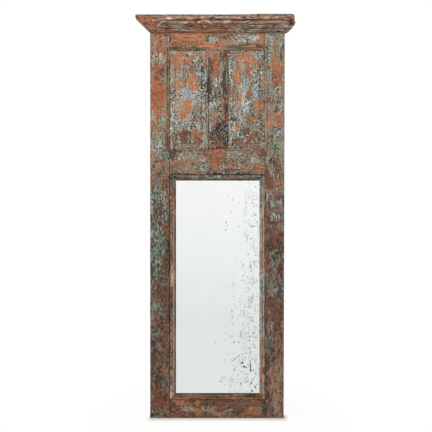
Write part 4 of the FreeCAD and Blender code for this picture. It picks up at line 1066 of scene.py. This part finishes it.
for side, own in strips.items():
    look = dict(stripLook, seed=own["seed"], glassEdgeShade=own["glassEdgeShade"])
    sway = (0.15, 0.5, 1)
    if side in ("top", "bottom"):
        look.update(grid=(8.0, 3.5, 2.4), grain="x")
        sway = (1, 0.5, 0.2)
    look["material"] = oldPaint("old_paint_" + side + "_strip", look["grain"], own["ground"],
                                own["patches"], flaky=0.08, warm=0.3, pale=own["pale"], sway=sway,
                                woodTones=own["woodTones"], level=own["level"], speckStretch=0.4)
    wornPiece("moulding_" + side, look)


# Mirror glass. Patterns in it and its silver: size in m, detail, roughness
glassPatterns = {
    "cloud": (1 / 7, 4.0, 0.5),       # soft clouds where the silver has dulled
    "clump": (1 / 34, 3.0, 0.6),      # foxing grows in clumps,
    "clot": (0.0125, 2.0, 0.5),       # and those in clots
    "nibble": (0.00625, 2.0, 0.5),    # bites into the edges of specks and marks
    "wave": (0.2, 1.0, 0.5),          # old glass isn't quite flat
}
glassSettings = {
    "arris": 0.0008,           # the pane's edges are ground off by this much, m
    "columns": 40, "rows": 90,      # faces along its edges
    "silverStops": ((0.1, "F6F8F7"), (0.6, "ECF0EF"), (1.0, "E1E5E4")),
    "agedSpan": (1.1, 0.3),    # heights where the silver starts to dull and is fully aged, m
    "cloudy": 0.4,             # how much clouds change that
    "foxSpan": (0.80, 0.20),   # and where the foxing starts to spread and has spread all its way
    "spread": 0.09,            # how much further from the edge it reaches at the foot, m
    "clumped": 0.55,           # how much it grows in clumps
    "edgeSpan": (0.36, 0.50),  # from where to where it thickens towards the right edge
    "clotSpan": (0.40, 0.62),
    "thinnest": 0.15,          # what is left of it between clots
    "bitten": (0.010, 0, 0.013),    # how far the edges of specks are bitten, m
    # Specks of dust and blots: cell size in m, how many cells have one, how far each reaches; real
    # foxing has finer specks, these show at the render's size
    "specks": ((0.0054, 1.2, 0.50), (0.017, 0.20, 0.22)),
    "core": 0.4,               # the inner part of a speck, which has no silver at all
    "faint": 0.10,             # the faintest specks, and how much darker the darkest are
    "deep": 0.80,
    "ragged": 1.6,             # how ragged single marks are, and where they start and are full
    "markSpan": (2.0, 1.4),
    "clumpWidth": 0.4,         # how wide clumps, clots and specks are, where their height is 1
    "speckWidth": 0.7,
    "bare": "2A2C2E",
    "roughness": (0.03, 0.6),  # of silver and of bare marks
    "waveHeight": 0.0004,
}
# Bare marks in the silver: x, z, half width, half height in mm, lean in degrees, darkness
glassMarks = [
    (161, 246, 2.6, 24, 0, 0.95), (162, 226, 5, 6, 0, 1.0), (122, 262, 4.5, 5, 0, 1.0),
    (130, 244, 5, 5, 20, 1.0), (112, 260, 3, 4, 0, 0.8), (158, 275, 3, 12, 15, 0.5),
    (164, 166, 5, 5, 0, 0.85), (184, 147, 4.5, 4, -30, 0.95), (168, 128, 6, 5, 20, 0.8),
    (140, 168, 4, 3.5, 0, 0.6), (118, 168, 5, 3, 0, 0.55), (82, 228, 4, 5, 0, 0.55),
    (162, 314, 4, 6, 0, 0.55), (158, 368, 4, 5, 0, 0.55), (106, 360, 8, 3.5, 0, 0.5),
    (115, 400, 3.5, 22, 0, 0.5), (172, 462, 4.5, 5, 0, 0.45), (134, 531, 5, 5, 0, 0.45),
    (128, 500, 4, 24, 0, 0.3), (166, 548, 3, 30, 15, 0.3), (172, 668, 1.6, 34, 0, 0.45),
    (186, 749, 34, 1.5, 0, 0.5), (180, 749, 6, 3, 0, 0.55), (162, 722, 3.5, 22, -12, 0.4),
    (180, 735, 3, 14, 0, 0.4), (146, 858, 4, 4, 0, 0.45), (160, 857, 4, 4, 0, 0.45),
    (176, 918, 10, 3, 0, 0.6), (105, 916, 4, 4, 0, 0.5), (70, 984, 3.5, 4, 0, 0.5),
    (140, 1029, 4.5, 4, 0, 0.5), (106, 1029, 5, 3, 0, 0.4), (178, 1012, 7, 3, 0, 0.5),
    (175, 816, 3, 20, 0, 0.35), (178, 975, 3, 10, 0, 0.4), (130, 655, 24, 1.6, 0, 0.25),
]


def foxing(tree, place, axes, noises, glass):
    # Black specks where damp has lifted the silver: they grow in from the right edge, further
    # towards the foot
    wander = addNode(tree, "ShaderNodeMapRange",
                     inputs={"Value": axes["Z"], "From Min": glass["foxSpan"][0],
                             "From Max": glass["foxSpan"][1], "To Max": glass["spread"]}).outputs[0]
    wander = addNode(tree, "ShaderNodeMath", {"operation": "ADD"}, {0: axes["X"], 1: wander}).outputs[0]
    wander = addNode(tree, "ShaderNodeMath", timesPlus,
                     {0: noises["clump"]["Fac"], 1: glass["clumped"], 2: wander}).outputs[0]
    density = addNode(tree, "ShaderNodeMapRange", smoothStep,
                      {"Value": wander, "From Min": glass["edgeSpan"][0],
                       "From Max": glass["edgeSpan"][1]}).outputs[0]
    clot = addNode(tree, "ShaderNodeMapRange",
                   inputs={"Value": noises["clot"]["Fac"], "From Min": glass["clotSpan"][0],
                           "From Max": glass["clotSpan"][1], "To Min": glass["thinnest"]}).outputs[0]
    density = addNode(tree, "ShaderNodeMath", times, {0: density, 1: clot}).outputs[0]
    bitten = addNode(tree, "ShaderNodeVectorMath", timesPlus,
                     {0: noises["nibble"]["Color"], 1: glass["bitten"], 2: place}).outputs[0]
    flat = addNode(tree, "ShaderNodeMapping",
                   inputs={"Vector": bitten, "Rotation": (math.radians(90), 0, 0),
                           "Scale": (1, 1, glass["speckWidth"])}).outputs[0]
    bare = 0.0
    for size, most, spread in glass["specks"]:
        cells = addNode(tree, "ShaderNodeTexVoronoi", {"voronoi_dimensions": "2D"},
                        {"Vector": flat, "Scale": 1 / size}).outputs
        chance = addNode(tree, "ShaderNodeSeparateColor", inputs={"Color": cells["Color"]}).outputs
        # A cell has a speck where its own chance is under the density, and each has its own depth
        here = addNode(tree, "ShaderNodeMath", times, {0: density, 1: most}).outputs[0]
        here = addNode(tree, "ShaderNodeMath", {"operation": "LESS_THAN"},
                       {0: chance["Red"], 1: here}).outputs[0]
        reach = addNode(tree, "ShaderNodeMath", timesPlus,
                        {0: chance["Green"], 1: spread, 2: spread / 2}).outputs[0]
        core = addNode(tree, "ShaderNodeMath", times, {0: reach, 1: glass["core"]}).outputs[0]
        spot = addNode(tree, "ShaderNodeMapRange", smoothStep,
                       {"Value": cells["Distance"], "From Min": reach, "From Max": core}).outputs[0]
        depth = addNode(tree, "ShaderNodeMath", {"operation": "POWER"},
                        {0: chance["Blue"], 1: 2.0}).outputs[0]
        depth = addNode(tree, "ShaderNodeMath", timesPlus,
                        {0: depth, 1: glass["deep"], 2: glass["faint"]}).outputs[0]
        for share in (here, depth):
            spot = addNode(tree, "ShaderNodeMath", times, {0: spot, 1: share}).outputs[0]
        bare = addNode(tree, "ShaderNodeMath", {"operation": "MAXIMUM"}, {0: bare, 1: spot}).outputs[0]
    return bare


def bareMarks(tree, place, noises, glass, bare):
    # The larger marks in the silver, each in its own place
    for x, z, wide, high, lean, dark in glassMarks:
        local = addNode(tree, "ShaderNodeMapping", {"vector_type": "TEXTURE"},
                        {"Vector": place, "Location": (patchStart + x / 1000, 0, z / 1000),
                         "Rotation": (0, math.radians(lean), 0),
                         "Scale": (wide / 1000, 1, high / 1000)}).outputs[0]
        out = addNode(tree, "ShaderNodeVectorMath", {"operation": "LENGTH"},
                      {0: local}).outputs["Value"]
        ragged = addNode(tree, "ShaderNodeMath", timesPlus,
                         {0: noises["nibble"]["Fac"], 1: glass["ragged"], 2: out}).outputs[0]
        mark = addNode(tree, "ShaderNodeMapRange", smoothStep,
                       {"Value": ragged, "From Min": glass["markSpan"][0],
                        "From Max": glass["markSpan"][1], "To Max": dark}).outputs[0]
        bare = addNode(tree, "ShaderNodeMath", {"operation": "MAXIMUM"}, {0: bare, 1: mark}).outputs[0]
    return bare


def silveredGlass(glass):
    # Old plate glass silvered on the back: bright, a little green, foxed with black down its
    # right side
    material, tree = newMaterial("foxed_silvered_glass")
    place = addNode(tree, "ShaderNodeTexCoord").outputs["Object"]
    axes = addNode(tree, "ShaderNodeSeparateXYZ", inputs={0: place}).outputs
    upright = addNode(tree, "ShaderNodeMapping",
                      inputs={"Vector": place, "Scale": (1, 1, glass["clumpWidth"])}).outputs[0]
    noises = {}
    for key, (size, detail, roughness) in glassPatterns.items():
        noises[key] = addNode(tree, "ShaderNodeTexNoise",
                              inputs={"Vector": upright if key in ("clump", "clot") else place,
                                      "Scale": 1 / size, "Detail": detail,
                                      "Roughness": roughness}).outputs
    height = addNode(tree, "ShaderNodeMapRange",
                     inputs={"Value": axes["Z"], "From Min": glass["agedSpan"][0],
                             "From Max": glass["agedSpan"][1]}).outputs[0]
    age = addNode(tree, "ShaderNodeMath", timesPlus,
                  {0: noises["cloud"]["Fac"], 1: glass["cloudy"], 2: height}).outputs[0]
    silver = addNode(tree, "ShaderNodeValToRGB", inputs={"Fac": age},
                     stops=glass["silverStops"]).outputs[0]
    bare = foxing(tree, place, axes, noises, glass)
    bare = bareMarks(tree, place, noises, glass, bare)
    colour = addNode(tree, "ShaderNodeMix", mixColour,
                     {mixFactor: bare, mixUnder: silver, mixOver: linear(glass["bare"])}).outputs[2]
    rough = addNode(tree, "ShaderNodeMapRange",
                    inputs={"Value": bare, "To Min": glass["roughness"][0],
                            "To Max": glass["roughness"][1]}).outputs[0]
    bump = addNode(tree, "ShaderNodeBump",
                   inputs={"Strength": 0.15, "Distance": glass["waveHeight"],
                           "Height": noises["wave"]["Fac"]}).outputs[0]
    shader = addNode(tree, "ShaderNodeBsdfPrincipled",
                     inputs={"Base Color": colour, "Metallic": 1.0, "Roughness": rough,
                             "Normal": bump})
    addNode(tree, "ShaderNodeOutputMaterial", inputs={"Surface": shader.outputs[0]})
    return material


# What the plain finishes share
plainSettings = {
    "stops": (0.35, 0.62),     # where in the mottling the dark and the light tone lie
    "roughSwing": (1.15, 0.85),
    "bumpStrength": 0.5,
}


def plainCoat(name, hexLow, hexHigh, size, roughness, metallic=0.0, bumpHeight=0.0004,
              stretch=(1, 1, 1)):
    # A finish with one even coat: two tones of it in soft mottling, and a fine tooth
    material, tree = newMaterial(name)
    place = addNode(tree, "ShaderNodeTexCoord").outputs["Object"]
    way = addNode(tree, "ShaderNodeMapping", inputs={"Vector": place, "Scale": stretch}).outputs[0]
    mottle = addNode(tree, "ShaderNodeTexNoise",
                     inputs={"Vector": way, "Scale": 1 / size, "Detail": 5.0,
                             "Roughness": 0.65}).outputs["Fac"]
    tone = addNode(tree, "ShaderNodeValToRGB", inputs={"Fac": mottle},
                   stops=list(zip(plainSettings["stops"], (hexLow, hexHigh))))
    dull, bright = [roughness * swing for swing in plainSettings["roughSwing"]]
    rough = addNode(tree, "ShaderNodeMapRange",
                    inputs={"Value": mottle, "From Min": 0.3, "From Max": 0.7, "To Min": dull,
                            "To Max": bright}).outputs[0]
    bump = addNode(tree, "ShaderNodeBump",
                   inputs={"Strength": plainSettings["bumpStrength"], "Distance": bumpHeight,
                           "Height": mottle}).outputs[0]
    shader = addNode(tree, "ShaderNodeBsdfPrincipled",
                     inputs={"Base Color": tone.outputs["Color"], "Metallic": metallic,
                             "Roughness": rough, "Normal": bump})
    addNode(tree, "ShaderNodeOutputMaterial", inputs={"Surface": shader.outputs[0]})
    return material


def mirrorGlass(glass):
    low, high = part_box("mirror_glass")
    arris = glass["arris"]
    bm = bmesh.new()
    # Rings of the pane from the front's flat to the back's, with a ground arris on each edge
    rings = []
    for inset, y in ((arris, low.y), (0, low.y + arris), (0, high.y - arris), (arris, high.y)):
        x0, x1, z0, z1 = low.x + inset, high.x - inset, low.z + inset, high.z - inset
        sides = ((x0, z0, x1, z0, glass["columns"]), (x1, z0, x1, z1, glass["rows"]),
                 (x1, z1, x0, z1, glass["columns"]), (x0, z1, x0, z0, glass["rows"]))
        rings.append([bm.verts.new((xa + (xb - xa) * i / steps, y, za + (zb - za) * i / steps))
                      for xa, za, xb, zb, steps in sides for i in range(steps)])
    for first, second in zip(rings, rings[1:]):
        for i in range(len(first)):
            j = (i + 1) % len(first)
            bm.faces.new((first[i], first[j], second[j], second[i])).material_index = 1
    bm.faces.new(rings[0]).material_index = 0
    bm.faces.new(rings[-1][::-1]).material_index = 2
    bmesh.ops.recalc_face_normals(bm, faces=bm.faces)
    mesh = bpy.data.meshes.new("mirror_pane")
    bm.to_mesh(mesh)
    bm.free()
    mesh.materials.append(silveredGlass(glass))
    # Ground glass, a matt pale green, and the red-brown lacquer that seals the silver's back
    mesh.materials.append(plainCoat("ground_glass_edge", "8FB0A4", "B7CFC6", 0.01, 0.45))
    mesh.materials.append(plainCoat("mirror_back_paint", "5A3B34", "6E4A40", 0.05, 0.6))
    pane = bpy.data.objects.new("mirror_pane", mesh)
    bpy.context.scene.collection.objects.link(pane)
    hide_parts("mirror_glass")
    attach(pane, "frame")


mirrorGlass(glassSettings)
print("mirror glass made")

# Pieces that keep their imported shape. Their finishes have two tones, the size of the mottling in
# m and the roughness. Real pits, spangles and fibres are under a millimetre wide, and are drawn
# coarser so that they show
# Cut iron brads, rusted: red-brown, dull and gritty
rustedIron = plainCoat("rusted_iron", "2C1D16", "5B3623", 0.003, 0.8, metallic=0.6)
# Pressed steel with a zinc coat: light grey, a soft sheen with a faint spangle
zincPlated = plainCoat("zinc_plated_steel", "8E9294", "B4B7B8", 0.006, 0.38, metallic=1.0,
                       bumpHeight=0.0001)
# Pine off the saw: light brown, dull, streaked along its length
crossPine = plainCoat("sawn_pine_cross_strips", "8D6B48", "B08C62", 0.006, 0.75,
                      stretch=(0.08, 1, 1))
sidePine = plainCoat("sawn_pine_side_strips", "8D6B48", "B08C62", 0.006, 0.75,
                     stretch=(1, 1, 0.08))
# Cut ends of hardwood pegs: dark with dirt; split oak: mid brown; hardboard: flat red-brown
finishes = {
    "tenon_pegs": plainCoat("end_grain_pegs", "2E1F16", "5A3E28", 0.004, 0.75),
    "tenon_wedges": plainCoat("split_oak_wedges", "6A4A30", "9A7650", 0.006, 0.75),
    "backing_board": plainCoat("hardboard", "6B4A34", "7D593F", 0.02, 0.7),
    "fillet_top": crossPine, "fillet_bottom": crossPine,
    "fillet_left": sidePine, "fillet_right": sidePine,
    "moulding_nails": rustedIron, "fillet_nails": rustedIron, "cornice_nails": rustedIron,
    "left_hanger_strap": zincPlated, "right_hanger_strap": zincPlated,
    "left_hanger_ring": zincPlated, "right_hanger_ring": zincPlated, "hanger_screws": zincPlated,
}
for node, finish in finishes.items():
    mesh = cadNodes[node].data
    mesh.materials.clear()
    mesh.materials.append(finish)
print("packed pieces finished")

# Floor, world and lamps
stageSettings = {
    "floorSize": 60.0,
    "floorPaint": "F3F1EE",
    "footInset": 0.012,    # the shade starts this far in from the frame's edge
    "whiteNear": 0.05,     # how much of the floor at the object's foot is plain white to the eye
    "whiteBy": 0.96,       # how much a hand's breadth in front of it
    "shadeReach": 0.13,
    "whiteAll": 1.6,       # from here on it is all white
    "sidewise": 4.0,       # the shade reaches this much less far to the sides
    "worldLevel": 0.28,
    "aim": (0, 0, 1),
    "key": {"place": (-2.3, -3.5, 4.0), "size": 2.6, "power": 172.0},
    "fill": {"place": (3.4, -4.0, 1.6), "size": 2.6, "power": 44.0},
}


def whiteToEyes(tree):
    # 1 where the camera, a mirror or glass sees the surface, and 0 for light that it sheds
    rays = addNode(tree, "ShaderNodeLightPath").outputs
    seen = addNode(tree, "ShaderNodeMath", {"operation": "MAXIMUM"},
                   {0: rays["Is Camera Ray"], 1: rays["Is Glossy Ray"]}).outputs[0]
    return addNode(tree, "ShaderNodeMath", {"operation": "MAXIMUM"},
                   {0: seen, 1: rays["Is Transmission Ray"]}).outputs[0]


def paleFloor(stage):
    bm = bmesh.new()
    bmesh.ops.create_grid(bm, x_segments=8, y_segments=8, size=stage["floorSize"] / 2)
    mesh = bpy.data.meshes.new("floor")
    bm.to_mesh(mesh)
    bm.free()
    floor = bpy.data.objects.new("floor", mesh)
    bpy.context.scene.collection.objects.link(floor)
    material, tree = newMaterial("pale_floor")
    # Distance from the foot's oblong on the floor
    away = addNode(tree, "ShaderNodeTexCoord").outputs["Object"]
    for operation, by in (("ABSOLUTE", (0, 0, 0)), ("SUBTRACT", (frameRight - stage["footInset"], backY, 0)),
                          ("MAXIMUM", (0, 0, 0)), ("MULTIPLY", (stage["sidewise"], 1, 0))):
        away = addNode(tree, "ShaderNodeVectorMath", {"operation": operation},
                       {0: away, 1: by}).outputs[0]
    away = addNode(tree, "ShaderNodeVectorMath", {"operation": "LENGTH"}, {0: away}).outputs["Value"]
    near = addNode(tree, "ShaderNodeMapRange", smoothStep,
                   {"Value": away, "From Min": 0.0, "From Max": stage["shadeReach"],
                    "To Min": stage["whiteNear"], "To Max": stage["whiteBy"]}).outputs[0]
    far = addNode(tree, "ShaderNodeMapRange", smoothStep,
                  {"Value": away, "From Min": stage["shadeReach"], "From Max": stage["whiteAll"],
                   "To Max": 1 - stage["whiteBy"]}).outputs[0]
    share = addNode(tree, "ShaderNodeMath", {"operation": "ADD"}, {0: near, 1: far}).outputs[0]
    share = addNode(tree, "ShaderNodeMath", times, {0: share, 1: whiteToEyes(tree)}).outputs[0]
    matt = addNode(tree, "ShaderNodeBsdfDiffuse", inputs={"Color": linear(stage["floorPaint"])})
    white = addNode(tree, "ShaderNodeEmission", inputs={"Color": linear("FFFFFF"), "Strength": 1.0})
    both = addNode(tree, "ShaderNodeMixShader",
                   inputs={0: share, 1: matt.outputs[0], 2: white.outputs[0]})
    addNode(tree, "ShaderNodeOutputMaterial", inputs={"Surface": both.outputs[0]})
    mesh.materials.append(material)


def softDaylight(stage):
    world = bpy.data.worlds.new("soft_daylight")
    world.use_nodes = True
    tree = world.node_tree
    tree.nodes.clear()
    level = addNode(tree, "ShaderNodeMapRange",
                    inputs={"Value": whiteToEyes(tree), "To Min": stage["worldLevel"], "To Max": 1.0})
    sky = addNode(tree, "ShaderNodeBackground",
                  inputs={"Color": linear("FFFFFF"), "Strength": level.outputs[0]})
    addNode(tree, "ShaderNodeOutputWorld", inputs={"Surface": sky.outputs[0]})
    bpy.context.scene.world = world
    for name in ("key", "fill"):
        data = bpy.data.lights.new(name, "AREA")
        data.size = stage[name]["size"]
        data.energy = stage[name]["power"]
        lamp = bpy.data.objects.new(name, data)
        lamp.location = stage[name]["place"]
        aim = Vector(stage["aim"]) - lamp.location
        lamp.rotation_euler = aim.to_track_quat("-Z", "Y").to_euler()
        bpy.context.scene.collection.objects.link(lamp)


paleFloor(stageSettings)
softDaylight(stageSettings)
bpy.context.scene.view_settings.view_transform = "Standard"
print("stage made")
